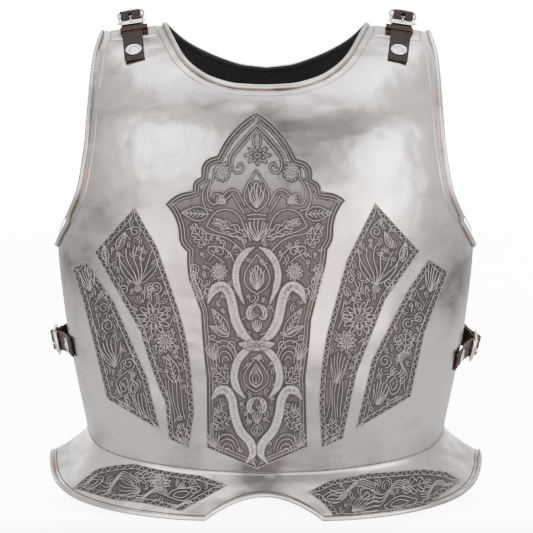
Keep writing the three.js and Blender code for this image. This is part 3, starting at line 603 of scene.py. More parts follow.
def lines_object(name, lines, radius, finish, sides=1, ends=0.55):
    """Round lines through 3-D points. Each is (points, share of the radius) and, if closed, True."""
    data = bpy.data.curves.new(name, "CURVE")
    data.dimensions = "3D"
    data.bevel_depth = radius
    data.bevel_resolution = sides
    data.use_fill_caps = True
    data.materials.append(material(finish))
    for points, share, *closed in lines:
        if len(points) < 2:
            continue
        spline = data.splines.new("POLY")
        spline.points.add(len(points) - 1)
        for k, (spot, place) in enumerate(zip(spline.points, points)):
            spot.co = (*place, 1.0)
            spot.radius = share * (ends if k in (0, len(points) - 1) else 1.0)
        spline.use_cyclic_u = any(closed)
        spline.use_smooth = True
    return link(name, data)


# The studio: half the floor's width, where the backdrop stands, between which y the floor begins to glow,
# and how strongly floor, world and backdrop glow
STUDIO = {
    "half": 6.0,
    "behind": 5.9,
    "floor_from": (-0.3, -0.1),
    "floor_glow": 9.0,
    "world": 1.15,
    "backdrop": 10.0,
}


# Materials
class Wire:
    """A value in a shader, so that shader maths can be written as plain maths."""

    def __init__(self, nodes, socket):
        self.nodes = nodes
        self.socket = socket

    def maths(self, operation, other, swap=False):
        node = self.nodes.tree.nodes.new("ShaderNodeMath")
        node.operation = operation
        pair = (other, self) if swap else (self, other)
        for slot, value in zip(node.inputs, pair):
            self.nodes.feed(slot, value)
        return Wire(self.nodes, node.outputs[0])

    def __add__(self, other):
        return self.maths("ADD", other)

    __radd__ = __add__

    def __sub__(self, other):
        return self.maths("SUBTRACT", other)

    def __rsub__(self, other):
        return self.maths("SUBTRACT", other, swap=True)

    def __mul__(self, other):
        return self.maths("MULTIPLY", other)

    __rmul__ = __mul__

    def clipped(self):
        """The value held between 0 and 1."""
        node = self.nodes.node("ShaderNodeClamp")
        self.nodes.feed(node.inputs["Value"], self)
        return Wire(self.nodes, node.outputs["Result"])

    def between(self, low, high):
        """0 below low, 1 above high, and smooth between them."""
        node = self.nodes.node("ShaderNodeMapRange", interpolation_type="SMOOTHSTEP")
        self.nodes.feed(node.inputs["Value"], self)
        node.inputs["From Min"].default_value = low
        node.inputs["From Max"].default_value = high
        return Wire(self.nodes, node.outputs["Result"])


class Nodes:
    """A material's nodes."""

    def __init__(self, name):
        self.material = bpy.data.materials.new(name)
        self.material.use_nodes = True
        self.tree = self.material.node_tree
        self.shader = self.tree.nodes["Principled BSDF"]

    def node(self, kind, **settings):
        made = self.tree.nodes.new(kind)
        for key, value in settings.items():
            setattr(made, key, value)
        return made

    def feed(self, slot, value):
        if isinstance(value, Wire):
            self.tree.links.new(value.socket, slot)
        else:
            slot.default_value = value

    def place(self):
        return self.node("ShaderNodeTexCoord").outputs["Object"]

    def stretched(self, scale):
        """Object coordinates stretched for a pattern."""
        made = self.node("ShaderNodeVectorMath", operation="MULTIPLY")
        self.tree.links.new(self.place(), made.inputs[0])
        made.inputs[1].default_value = scale
        return made.outputs[0]

    def noise(self, scale, detail=4.0, rough=0.55, stretch=None):
        made = self.node("ShaderNodeTexNoise")
        source = self.stretched(stretch) if stretch else self.place()
        self.tree.links.new(source, made.inputs["Vector"])
        made.inputs["Scale"].default_value = scale
        made.inputs["Detail"].default_value = detail
        made.inputs["Roughness"].default_value = rough
        return Wire(self, made.outputs["Fac"])

    def attribute(self, name):
        return Wire(self, self.node("ShaderNodeAttribute", attribute_name=name).outputs["Fac"])

    def mix(self, factor, first, second):
        made = self.node("ShaderNodeMix", data_type="RGBA")
        self.feed(made.inputs[0], factor)
        for slot, value in ((made.inputs[6], first), (made.inputs[7], second)):
            if isinstance(value, Wire):
                self.tree.links.new(value.socket, slot)
            else:
                slot.default_value = (*value, 1.0)
        return Wire(self, made.outputs[2])

    def bump(self, height, strength, distance):
        made = self.node("ShaderNodeBump")
        self.feed(made.inputs["Height"], height)
        made.inputs["Strength"].default_value = strength
        made.inputs["Distance"].default_value = distance
        self.tree.links.new(made.outputs["Normal"], self.shader.inputs["Normal"])

    def set(self, socket, value):
        self.feed(self.shader.inputs[socket], value)

    def paint(self, value):
        slot = self.shader.inputs["Base Color"]
        if isinstance(value, Wire):
            self.tree.links.new(value.socket, slot)
        else:
            slot.default_value = (*value, 1.0)


MATERIALS = {}


def material(name):
    """A material of the object, made when it is first asked for."""
    if name not in MATERIALS:
        MATERIALS[name] = MAKERS[name]()
    return MATERIALS[name]


def polished_steel():
    """Bright steel with soft clouds, stains and fine scratches, made brighter and darker by the painted
    highlights and painted shade written into the mesh.
    """
    c = colours()
    nodes = Nodes("Polished steel")
    clouds = nodes.noise(9.0, 3.0, 0.5)
    patches = nodes.noise(34.0, 4.0, 0.6)
    stains = nodes.noise(15.0, 5.0, 0.6, (1.0, 1.0, 0.6))
    pits = nodes.noise(900.0, 2.0, 0.6)
    streaks = nodes.noise(16.0, 4.0, 0.6, (0.45, 1.0, 1.6))
    worn = clouds.between(0.42, 0.64) * 0.34 + patches.between(0.5, 0.68) * 0.13
    worn += streaks.between(0.49, 0.61) * 0.22
    # Painted highlights and painted shade from the mesh, less the random clouds and wear, set how bright the
    # steel is.
    light = nodes.attribute("painted_light_and_smudge") * 0.6 - worn + 0.93
    tinted = nodes.mix(stains.between(0.58, 0.74) * 0.35, c.steel, c.stain)
    nodes.paint(nodes.mix(light.clipped(), c.steel_shade_and_wear, tinted))
    nodes.set("Metallic", 1.0)
    nodes.set("Roughness", 0.2 + patches * 0.16 + pits.between(0.6, 0.8) * 0.08)
    scratches = nodes.noise(60.0, 2.0, 0.7, (9.0, 9.0, 0.7))
    nodes.bump(clouds * 0.8 + patches * 0.05 + scratches * 0.004 + pits * 0.001, 0.8, 0.012)
    return nodes.material


HEAD = {"low": 0.288, "high": 0.34}  # heights between which the etching fades into the polished steel


def head_of(nodes):
    """1 in the faded head of the central panel, 0 below it."""
    split = nodes.node("ShaderNodeSeparateXYZ")
    nodes.tree.links.new(nodes.place(), split.inputs[0])
    return Wire(nodes, split.outputs["Z"]).between(HEAD["low"], HEAD["high"])


def etched_ground():
    """The dark ground of the etched panels, with painted shade beside their raised lines."""
    c = colours()
    nodes = Nodes("Etched ground")
    mottle = nodes.noise(240.0, 5.0, 0.65)
    fields = nodes.noise(38.0, 3.0, 0.5)
    # cut: painted shade beside the raised lines, written into the mesh
    cut = nodes.attribute("cut")
    dark = cut * 0.8 + mottle.between(0.4, 0.7) * 0.3 + fields.between(0.42, 0.66) * 0.25
    pale = nodes.mix(head_of(nodes) * 0.8, c.ground, c.head)
    nodes.paint(nodes.mix(dark.between(0.0, 0.85), pale, c.ground_line_shade))
    nodes.set("Metallic", 0.4)
    nodes.set("Roughness", 0.5 + mottle * 0.2)
    nodes.bump(mottle - cut * 0.6, 0.7, 0.0005)
    return nodes.material


def raised_line():
    """The raised lines of the ornament, worn in places."""
    c = colours()
    nodes = Nodes("Raised line")
    worn = nodes.noise(420.0, 3.0, 0.6)
    pale = nodes.mix(head_of(nodes) * 0.6, c.line, c.head)
    nodes.paint(nodes.mix(worn.between(0.52, 0.7) * 0.55, pale, c.ground))
    nodes.set("Metallic", 0.85)
    nodes.set("Roughness", 0.38)
    return nodes.material


def plain(name, base, metallic, rough, grain=0.0, scale=400.0, spread=0.3, shine=0.5):
    nodes = Nodes(name)
    speckle = nodes.noise(scale, 4.0, 0.6)
    lighter = [min(1.0, v * (1 + spread)) for v in base]
    darker = [v * (1 - spread) for v in base]
    nodes.paint(nodes.mix(speckle.between(0.35, 0.65), darker, lighter))
    nodes.set("Metallic", metallic)
    nodes.set("Specular IOR Level", shine)
    nodes.set("Roughness", rough + speckle * 0.1)
    if grain:
        nodes.bump(speckle, grain, 0.0006)
    return nodes.material


def studio_floor():
    """A pale floor, lit from below behind the object as a light table is."""
    nodes = Nodes("Floor")
    nodes.paint(colours().floor)
    nodes.set("Roughness", 0.8)
    across = nodes.node("ShaderNodeSeparateXYZ")
    nodes.tree.links.new(nodes.place(), across.inputs[0])
    lit = Wire(nodes, across.outputs["Y"]).between(*STUDIO["floor_from"])
    glow = nodes.mix(lit, (0.04, 0.04, 0.04), (1.0, 1.0, 1.0))
    nodes.tree.links.new(glow.socket, nodes.shader.inputs["Emission Color"])
    nodes.set("Emission Strength", STUDIO["floor_glow"])
    return nodes.material


MAKERS = {
    "steel": polished_steel,
    "ground": etched_ground,
    "line": raised_line,
    "band": lambda: plain("Hatched band", [v * 1.2 for v in colours().line], 0.7, 0.45, 0.5, 900.0, 0.22),
    "shade": lambda: plain("Shade line", colours().shade, 0.2, 0.6),
    "inside": lambda: plain("Blackened inside", colours().inside, 0.0, 0.75, 0.2, 300.0, 0.3, 0.3),
    "leather": lambda: plain("Leather", colours().leather, 0.0, 0.5, 0.8, 900.0, 0.45, 0.12),
    "cut": lambda: plain("Cut leather", colours().cut, 0.0, 0.7, 0.4, 700.0, 0.4, 0.15),
    "nickel": lambda: plain("Nickel", colours().nickel, 1.0, 0.2, 0.0, 300.0, 0.08),
    "washer": lambda: plain("Washer steel", colours().washer, 1.0, 0.3, 0.1, 500.0, 0.1),
    "floor": studio_floor,
}


# The photograph's view of the object, and what a pixel of it falls on
PHOTO = {"width": 533, "centre": 266.5, "focal": 2255.0, "sensor": 0.036}
VIEW = {"target": Vector((0.0015, -0.055, 0.237)), "azimuth": 0.6, "elevation": 5.0, "distance": 2.2}


def eye():
    """The camera's place and turn."""
    azimuth = math.radians(VIEW["azimuth"])
    elevation = math.radians(VIEW["elevation"])
    away = Vector(
        (
            math.sin(azimuth) * math.cos(elevation),
            -math.cos(azimuth) * math.cos(elevation),
            math.sin(elevation),
        )
    )
    return VIEW["target"] + away * VIEW["distance"], away.to_track_quat("Z", "Y")


class Cast:
    """Lays places of the photograph on a piece of the object."""

    def __init__(self, piece):
        bm = bmesh.new()
        bm.from_mesh(piece.data)
        self.tree = BVHTree.FromBMesh(bm)
        bm.free()
        self.eye, self.turn = eye()

    def at(self, x, y, lift=0.0):
        ray = self.turn @ Vector((x - PHOTO["centre"], PHOTO["centre"] - y, -PHOTO["focal"]))
        place, normal, _, _ = self.tree.ray_cast(self.eye, ray.normalized())
        if place is None:
            return None
        if normal.dot(ray) > 0:
            normal = -normal
        return place + normal * lift

    def line(self, points, lift):
        found = [self.at(x, y, lift) for x, y in spaced(points, 1.4)]
        return [p for p in found if p is not None]


def spaced(points, step):
    """Evenly spaced places along a line, its own bends kept when they are sharp."""
    result = [points[0]]
    for a, b in zip(points, points[1:]):
        far = math.dist(a, b)
        count = max(1, round(far / step)) if far > step * 0.6 else 1
        for k in range(1, count + 1):
            result.append((lerp(a[0], b[0], k / count), lerp(a[1], b[1], k / count)))
    return result


# Motifs, each drawn in its own square: u across from -0.5 to 0.5 and v from the foot (0) to the tip (1)
def wave(f, steps=14):
    """Places along a curve f(t)."""
    return [f(k / steps) for k in range(steps + 1)]


def drop_line(wide=1.0, low=0.0, high=1.0, full=0.8):
    """The outline of a drop."""
    def edge(side):
        def place(t):
            return side * wide * 0.5 * math.sin(math.pi * t**full) * (1.05 - 0.25 * t), lerp(low, high, t)

        return wave(place)

    return edge(-1) + edge(1)[::-1]


def drop():
    """A drop with a smaller one in it."""
    return [drop_line(), drop_line(0.55, 0.16, 0.72), [(0, 0.2), (0, 0.6)]]


def leaf():
    """A pointed leaf with its veins."""
    lines = [drop_line(), [(0, 0.02), (0, 0.95)]]
    for k in range(5):
        foot = 0.14 + 0.15 * k
        for side in SIDES:
            out = side * 0.2 * math.sin(math.pi * (foot + 0.08)) + side * 0.08
            lines.append([(0, foot), (out, foot + 0.15)])
    return lines


def flame(count=6):
    """Tongues that rise from one foot."""
    lines = []
    for k in range(count):
        lean = 2 * k / (count - 1) - 1

        def tongue(t, lean=lean):
            spread = lean * (0.16 + 0.34 * math.sin(math.pi * min(1.0, 1.15 * t) * 0.62) ** 1.2)
            sway = 0.07 * math.sin(2 * math.pi * t) * (1 - abs(lean))
            return spread * (0.25 + t) + sway, t * (1 - 0.22 * abs(lean))

        lines.append(wave(tongue))
    hull = wave(lambda t: (-0.5 * math.sin(math.pi * t * 0.5) ** 0.6, 0.02 + 0.55 * t))
    lines.append(hull)
    lines.append([(-x, y) for x, y in hull])
    return lines


def spiral(turns=1.6, hand=1):
    def place(t):
        r = 0.5 * (1 - 0.8 * t)
        a = 2 * math.pi * turns * t
        return hand * r * math.sin(a), 0.5 - r * math.cos(a)

    return [wave(place, 22)]


def curl(hand=1):
    """A stem that ends in a small spiral."""
    stem = wave(lambda t: (hand * (-0.35 + 0.25 * math.sin(math.pi * t * 0.5)), 0.62 * t), 6)

    def place(t):
        r = 0.3 * (1 - 0.75 * t)
        a = 2 * math.pi * 1.25 * t
        return hand * (0.2 - r * math.cos(a)), 0.66 + r * math.sin(a)

    return [stem + wave(place, 16)]


def strokes(hand=1):
    """Hooked strokes lying side by side."""
    return [
        wave(lambda t, k=k: (hand * (0.5 * math.sin(2.6 * t) - 0.34 * k), t * (1.0 - 0.22 * k) + 0.1 * k), 6)
        for k in range(2)
    ]


def rosette(petals=9):
    """A flower with two rings of petals."""
    lines = []
    rings = ((0.12, 0.0, 1), (0.05, 0.0, 1), (0.24, 0.32, petals), (0.34, 0.5, petals + 2))
    for ring, reach, count in rings:
        if count == 1:

            def circle(t, r=ring):
                return r * math.sin(math.tau * t), 0.5 + r * math.cos(math.tau * t)

            lines.append(wave(circle))
            continue
        for k in range(count):
            middle = 2 * math.pi * (k + 0.5 * (count % 2)) / count
            half = math.pi / count

            def petal(t, middle=middle, half=half, ring=ring, reach=reach):
                a = middle + (2 * t - 1) * half * (0.95 - 0.3 * math.sin(math.pi * t))
                r = lerp(ring * 0.62, reach, math.sin(math.pi * t) ** 0.6)
                return r * math.sin(a), 0.5 + r * math.cos(a)

            lines.append(wave(petal, 8))
    return lines


def plume(count=4):
    """Arches within one another."""
    lines = []
    for k in range(count):
        r = 0.5 * (k + 1) / count

        def arch(t, r=r):
            return -r * math.cos(math.pi * t), 2 * r * math.sin(math.pi * t) ** 0.8

        lines.append(wave(arch, 12))
    return lines


def acanthus(lobes=4):
    """A lobed leaf with a wavy middle vein."""
    lines = [wave(lambda t: (0.06 * math.sin(2 * math.pi * t), t), 10)]
    for side in SIDES:
        rim = []
        for k in range(lobes):
            low = k / lobes
            high = (k + 1) / lobes
            full = 0.5 * math.sin(math.pi * (0.2 + 0.75 * (low + high) / 2)) ** 0.8

            def lobe(t, low=low, high=high, full=full):
                return side * lerp(full * 0.45, full, math.sin(math.pi * t) ** 0.7), lerp(low, high, t)

            rim += wave(lobe, 6)
            vein = side * full
            lines.append([(0.0, low + 0.02), (vein * 0.45, low + 0.12), (vein * 0.75, high - 0.04)])
        lines.append(rim)
    return lines


def stems(count=5):
    """Swaying stems side by side."""
    return [
        wave(lambda t, k=k: ((k / (count - 1) - 0.5) * (1 - 0.35 * t) + 0.08 * math.sin(4.5 * t + k), t), 12)
        for k in range(count)
    ]


def paisley(hand=1):
    """A bent drop with a smaller one in it."""
    def back(t):
        return hand * 0.5 * math.sin(math.pi * t) * (1 - 0.3 * t), 0.5 - 0.5 * math.cos(math.pi * t)

    outer = wave(back, 10)
    inner = wave(lambda t: (-hand * 0.42 * math.sin(math.pi * t) ** 1.4, 1 - t), 12)
    small = [(0.5 * x, 0.18 + 0.55 * y) for x, y in outer + inner]
    return [outer + inner, small]


def swirl():
    """Long S-curves lying side by side."""

    def place(t, k):
        return 0.14 * (k - 1.5) * (1.4 - t) + 0.3 * math.sin(2 * math.pi * t + 0.3 * k), t

    return [wave(lambda t, k=k: place(t, k), 14) for k in range(4)]


def star(points=8):
    """A star round a ring."""
    rim = []
    for k in range(2 * points + 1):
        r = 0.5 if k % 2 == 0 else 0.24
        a = math.pi * k / points
        rim.append((r * math.sin(a), 0.5 + r * math.cos(a)))
    ring = wave(lambda t: (0.12 * math.sin(2 * math.pi * t), 0.5 + 0.12 * math.cos(2 * math.pi * t)), 8)
    return [rim, ring]


MOTIFS = {
    "drop": drop,
    "leaf": leaf,
    "flame": flame,
    "spiral": spiral,
    "spiral_left": lambda: spiral(1.6, -1),
    "curl": curl,
    "curl_left": lambda: curl(-1),
    "strokes": strokes,
    "strokes_left": lambda: strokes(-1),
    "rosette": rosette,
    "plume": plume,
    "acanthus": acanthus,
    "stems": stems,
    "paisley": paisley,
    "paisley_left": lambda: paisley(-1),
    "swirl": swirl,
    "star": star,
}
# What a motif that isn't symmetrical becomes when it is mirrored
TURNED = {name: name + "_left" for name in ("strokes", "spiral", "curl", "paisley")}
TURNED.update({left: name for name, left in TURNED.items()})


def drawn(row, axis=None):
    """The lines of a motif, in pixels of the photograph. With an axis it is mirrored over that x."""
    name = row["motif"]
    lean = math.radians(row["lean"])
    x0 = row["x"]
    if axis is not None:
        name = TURNED.get(name, name)
        lean = -lean
        x0 = 2 * axis - x0
    dx = math.sin(lean)
    dy = -math.cos(lean)

    def place(u, v):
        x = x0 + v * row["reach"] * dx - u * row["wide"] * dy
        return x, row["y"] + v * row["reach"] * dy + u * row["wide"] * dx

    return [[place(u, v) for u, v in line] for line in MOTIFS[name]()]


def motif(name, x, y, reach, lean, wide):
    """A motif's place. x, y: its foot. reach, wide: its length and width. lean: degrees, clockwise."""
    return {"motif": name, "x": x, "y": y, "reach": reach, "lean": lean, "wide": wide}


def edge(x, y, bulge=0.0):
    """A corner of an outline in the photograph. bulge: of the line to it, to its left, as a share."""
    return {"x": x, "y": y, "bulge": bulge}


def bowed(rows):
    """The line through the corners of an outline."""
    points = [(rows[0]["x"], rows[0]["y"])]
    for before, row in zip(rows, rows[1:]):
        a = Vector((before["x"], before["y"]))
        b = Vector((row["x"], row["y"]))
        across = Vector((b.y - a.y, a.x - b.x))
        count = max(1, round((b - a).length / 4))
        for k in range(1, count + 1):
            t = k / count
            p = a.lerp(b, t) + across * (4 * t * (1 - t) * row["bulge"])
            points.append((p.x, p.y))
    return points


# Outlines of the etched panels, from the top down each side, in the photograph's pixels
CENTRAL_LEFT = (
    edge(256.3, 111.5),
    edge(216.8, 155.4, -0.085),
    edge(200.7, 176.5, -0.25),
    edge(192.3, 190.5, -0.22),
    edge(164.9, 204.5, -0.12),
    edge(178.2, 237.0, 0.1),
    edge(186.7, 252.0, -0.12),
    edge(188.8, 281.0, -0.04),
    edge(200.3, 312.3, 0.0),
    edge(206.0, 376.8, -0.01),
    edge(206.8, 447.8),
    edge(257.0, 469.0),
)
CENTRAL_RIGHT = (
    edge(256.3, 111.5),
    edge(296.8, 158.2, 0.08),
    edge(312.9, 179.3, 0.25),
    edge(321.4, 192.0, 0.22),
    edge(345.9, 200.3, 0.12),
    edge(334.0, 228.4, -0.08),
    edge(328.0, 250.0, 0.1),
    edge(322.0, 280.0, 0.04),
    edge(311.7, 320.3, 0.0),
    edge(306.0, 376.8, 0.01),
    edge(307.6, 447.0),
    edge(257.0, 469.0),
)
INNER_LEFT = {
    "one": (edge(134.6, 206.8), edge(94.5, 252.3), edge(140, 332), edge(165, 403, -0.02),
        edge(168.6, 439), edge(189, 449)),
    "two": (edge(134.6, 206.8), edge(157.9, 248), edge(177.5, 305), edge(191.8, 376, 0.03),
        edge(194.5, 412), edge(189, 449)),
}
INNER_RIGHT = {
    "one": (edge(375, 202.3), edge(346.4, 260), edge(326.8, 332), edge(318.8, 403, -0.02),
        edge(321.4, 448.8)),
    "two": (edge(375, 202.3), edge(419.6, 251.4), edge(385.7, 299.6), edge(357, 373), edge(342.9, 439),
        edge(321.4, 448.8)),
}
OUTER_LEFT = {
    "one": (edge(86.4, 261.3), edge(72, 267.5), edge(83, 301), edge(107, 399), edge(160.5, 431)),
    "two": (edge(86.4, 261.3), edge(115, 303), edge(147, 376), edge(160.5, 431)),
}
OUTER_RIGHT = {
    "one": (edge(428.6, 258.6), edge(407, 290.7), edge(371.4, 360.4), edge(355.4, 430)),
    "two": (edge(428.6, 258.6), edge(448.2, 272), edge(425, 332), edge(410.7, 397), edge(355.4, 430)),
}
# The flange's panels run across: their upper and lower edges, from left to right
FLANGE_LEFT = {
    "one": (edge(72, 488), edge(96, 469), edge(135, 463.5, 0.03), edge(200, 475, -0.02), edge(229, 485)),
    "two": (edge(72, 488), edge(113, 500), edge(165, 508, 0.02), edge(181, 511.5), edge(229, 485)),
}
FLANGE_RIGHT = {
    "one": (edge(305.8, 492.6), edge(330, 480), edge(368, 473), edge(424, 469), edge(447, 471.6),
        edge(462, 481)),
    "two": (edge(305.8, 492.6), edge(334.5, 518.5, 0.08), edge(354, 519), edge(389, 515),
        edge(424, 506.6), edge(462, 481)),
}

CENTRAL_AXIS = 256.8
# Motifs of the central panel's middle and of its left half, which is mirrored to the right
CENTRAL_MIDDLE = (
    motif("star", 257.5, 165, 19, 0, 24),
    motif("leaf", 257, 146.5, 11, 0, 8),
    motif("drop", 256.5, 211.5, 41, 0, 26),
    motif("flame", 256.5, 208, 27, 0, 15),
    motif("flame", 256.8, 241, 23, 0, 19),
    motif("drop", 257, 294, 40, 0, 27),
    motif("flame", 257, 290, 26, 0, 13),
    motif("flame", 257, 332, 13, 0, 9),
    motif("drop", 256, 391.5, 34, 0, 26),
    motif("drop", 256, 387.5, 24, 0, 14),
    motif("flame", 257, 423, 12, 0, 9),
    motif("drop", 257, 436, 14, 0, 12),
)
CENTRAL_HALF = (
    motif("rosette", 222.5, 181, 17, 0, 15),
    motif("flame", 226, 203, 12, -60, 8),
    motif("curl", 214, 262, 17, 12, 17),
    motif("leaf", 208.5, 214.5, 27, -86, 15),
    motif("acanthus", 247, 237, 38, -64, 13),
    motif("strokes", 226, 228, 13, -60, 9),
    motif("acanthus", 205, 246, 25, -30, 14),
    motif("curl", 226, 258, 22, -70, 16),
    motif("spiral", 196, 274, 11, -20, 11),
    motif("acanthus", 203, 300, 30, -20, 13),
    motif("rosette", 219, 281, 18, 0, 17),
    motif("spiral", 208, 297, 10, 0, 9),
    motif("leaf", 229, 335, 32, -33, 11),
    motif("leaf", 229, 336, 22, -62, 8),
    motif("curl", 222, 340, 14, -85, 9),
    motif("plume", 226, 362, 22, -14, 25),
    motif("flame", 216, 360, 19, -20, 11),
    motif("curl_left", 232, 357, 17, 8, 13),
    motif("acanthus", 228, 384, 24, -38, 14),
    motif("curl", 217, 398, 19, -10, 11),
    motif("acanthus", 223, 430, 24, -12, 16),
    motif("strokes", 216, 416, 14, 10, 8),
    motif("spiral_left", 214, 432, 10, 0, 9),
    motif("plume", 228, 453, 19, -8, 24),
    motif("flame", 215, 447, 16, -12, 12),
)
# Stems of the central panel's head, left half, in pixels, each drawn as a smooth curve and mirrored
STEMS = (
    (edge(256.8, 125), edge(247, 135), edge(237, 146.5), edge(230.5, 155.5), edge(228.5, 163),
     edge(221, 164.5), edge(214.5, 170)),
    (edge(256.8, 129.5), edge(248, 139), edge(239, 149.5), edge(233, 158), edge(232, 166),
     edge(235.5, 172.5), edge(241, 172),
     edge(243.5, 167), edge(240.5, 163.5), edge(237.5, 167)),
    (edge(214.5, 170), edge(213.5, 178), edge(209.5, 185), edge(207.5, 194), edge(209.5, 202),
     edge(215, 204.5), edge(220.3, 200.5),
     edge(219, 195), edge(214.7, 194.5), edge(213.5, 199)),
    (edge(209, 181), edge(203.5, 190), edge(202.8, 200), edge(206.3, 208.5), edge(214, 211)),
    (edge(222, 197), edge(228.8, 191), edge(235.8, 190.5), edge(241.4, 198), edge(245, 206)),
    (edge(226, 199.5), edge(232.5, 195), edge(237.5, 203), edge(244.5, 213.5)),
    (edge(206.3, 226.5), edge(214.7, 213), edge(227.3, 209.4), edge(238.6, 215.5), edge(244.5, 228),
     edge(251, 241.5)),
    (edge(206.3, 226.5), edge(219, 232.5), edge(231.6, 235.5), edge(243, 239.5)),
    (edge(200.7, 226), edge(207, 233), edge(221.7, 236.5), edge(233, 242), edge(243, 252)),
    (edge(208, 247), edge(218.9, 246.5), edge(228.8, 252), edge(234.4, 262)),
    (edge(247.2, 215.5), edge(252, 214.8), edge(256.8, 214.6)),
    (edge(247.8, 219.5), edge(252, 219), edge(256.8, 218.8)),
    (edge(248.5, 222), edge(251, 231), edge(256, 241)),
)
# Middle lines of the broad bands in the central panel's left half, in pixels, each drawn as a smooth curve
BANDS = (
    (edge(254.5, 247), edge(246, 252), edge(238.5, 262), edge(235.5, 275), edge(238, 289), edge(244, 304)),
    (edge(208, 303), edge(213, 291), edge(221, 286), edge(228, 291), edge(232, 303), edge(236, 321),
     edge(244, 335), edge(256.8, 344)),
    (edge(256.8, 346), edge(246, 351), edge(237.5, 361), edge(234, 376), edge(237, 388), edge(245, 398)),
    (edge(212, 399), edge(218, 391), edge(226, 390), edge(232, 399), edge(234.5, 414), edge(240, 430),
     edge(250, 442), edge(253, 453), edge(246, 463)),
    (edge(256.8, 304), edge(251, 307.5), edge(248.5, 313), edge(250.5, 318), edge(255, 317)),
    (edge(256.8, 397), edge(251.5, 400.5), edge(249, 406), edge(251, 411), edge(255, 410)),
)
BAND_WIDTHS = (7.0, 9.5, 7.5, 8.5, 5.5, 5.5)
# The knot where the bands cross, on the axis of the panel
KNOT = (edge(239, 343.5), edge(247, 345), edge(256.8, 345.4), edge(266.6, 345), edge(274.6, 343.5))
KNOT_WIDTH = 10.5

INNER_LEFT_MOTIFS = (
    motif("spiral", 134, 238, 13, 10, 12),
    motif("leaf", 117, 250, 20, 25, 8),
    motif("leaf", 107, 262, 18, -10, 7),
    motif("flame", 137.5, 285, 42, 3, 38),
    motif("drop", 138, 292, 8, 0, 7),
    motif("spiral_left", 124, 296, 12, 0, 11),
    motif("spiral", 156, 294, 13, 0, 12),
    motif("rosette", 153.5, 335.5, 34, 0, 34),
    motif("curl", 171, 330, 18, 10, 10),
    motif("rosette", 165.5, 352.5, 22, 0, 22),
    motif("curl_left", 146, 344, 16, -30, 10),
    motif("leaf", 176, 383, 30, -16, 13),
    motif("stems", 178, 421, 42, -8, 17),
    motif("curl", 176, 424, 10, 20, 9),
    motif("acanthus", 184, 445, 22, -10, 13),
)
INNER_RIGHT_MOTIFS = (
    motif("spiral_left", 377, 238, 13, -10, 12),
    motif("leaf", 392, 248, 18, -25, 7),
    motif("leaf", 402, 262, 20, 10, 8),
    motif("flame", 375, 285, 42, 8, 38),
    motif("drop", 376, 292.5, 9, 0, 8),
    motif("spiral", 388, 290, 12, 0, 11),
    motif("curl_left", 355, 290, 16, -10, 11),
    motif("rosette", 359.5, 335.5, 34, 0, 34),
    motif("curl", 341, 330, 18, 10, 10),
    motif("rosette", 346.5, 352.5, 22, 0, 20),
    motif("curl", 366, 346, 16, 30, 9),
    motif("flame", 336, 384, 33, 8, 15),
    motif("stems", 334, 418, 38, 4, 15),
    motif("acanthus", 331, 442, 24, 6, 15),
)
OUTER_LEFT_MOTIFS = (
    motif("flame", 90, 291, 26, -8, 13),
    motif("curl", 99, 306, 17, 10, 13),
    motif("spiral", 104, 314, 12, 0, 12),
    motif("spiral_left", 108, 333, 15, 0, 13),
    motif("curl_left", 97, 338, 22, -15, 9),
    motif("flame", 115, 367, 30, -12, 19),
    motif("spiral", 129, 370, 13, 0, 13),
    motif("curl", 126, 358, 14, 50, 10),
    motif("paisley", 121, 396, 26, 14, 19),
    motif("paisley_left", 134, 396, 18, -6, 10),
    motif("stems", 144, 419, 26, -14, 14),
    motif("acanthus", 130, 411, 14, -50, 9),
)
OUTER_RIGHT_MOTIFS = (
    motif("flame", 430, 292, 26, 8, 13),
    motif("curl_left", 419, 304, 18, -14, 13),
    motif("spiral", 419, 325, 14, 0, 13),
    motif("spiral_left", 408, 330, 13, 0, 12),
    motif("acanthus", 403, 352, 23, 12, 17),
    motif("curl", 412, 350, 18, 8, 9),
    motif("swirl", 398, 377, 28, 20, 15),
    motif("spiral", 385, 368, 14, 0, 14),
    motif("paisley", 391, 394, 24, 12, 17),
    motif("flame", 377, 405, 26, 14, 14),
    motif("curl_left", 402, 392, 16, 8, 9),
)
FLANGE_LEFT_MOTIFS = (
    motif("paisley", 84, 487, 22, 62, 12),
    motif("swirl", 100, 484, 34, 82, 20),
    motif("flame", 140, 492, 24, -62, 22),
    motif("swirl", 132, 496, 36, 84, 13),
    motif("acanthus", 135, 477, 26, 92, 12),
    motif("rosette", 160, 491, 17, 0, 22),
    motif("paisley_left", 168, 497, 30, 80, 15),
    motif("curl", 178, 492, 25, 76, 12),
    motif("swirl", 170, 506, 24, 84, 7),
)
FLANGE_RIGHT_MOTIFS = (
    motif("paisley_left", 322, 500, 30, 76, 14),
    motif("swirl", 330, 494, 44, 78, 18),
    motif("spiral", 366, 504, 18, 0, 20),
    motif("flame", 352, 511, 30, 64, 18),
    motif("swirl", 372, 496, 40, 76, 20),
    motif("paisley", 384, 506, 34, 78, 15),
    motif("acanthus", 402, 487, 30, 82, 17),
    motif("swirl", 420, 494, 28, 66, 12),
    motif("curl", 440, 487, 15, 74, 10),
)
PANELS = rows_of(
    "name edges motifs on",
    ("inner_left_panel", INNER_LEFT, INNER_LEFT_MOTIFS, "breastplate_skin"),
    ("inner_right_panel", INNER_RIGHT, INNER_RIGHT_MOTIFS, "breastplate_skin"),
    ("outer_left_panel", OUTER_LEFT, OUTER_LEFT_MOTIFS, "breastplate_skin"),
    ("outer_right_panel", OUTER_RIGHT, OUTER_RIGHT_MOTIFS, "breastplate_skin"),
)
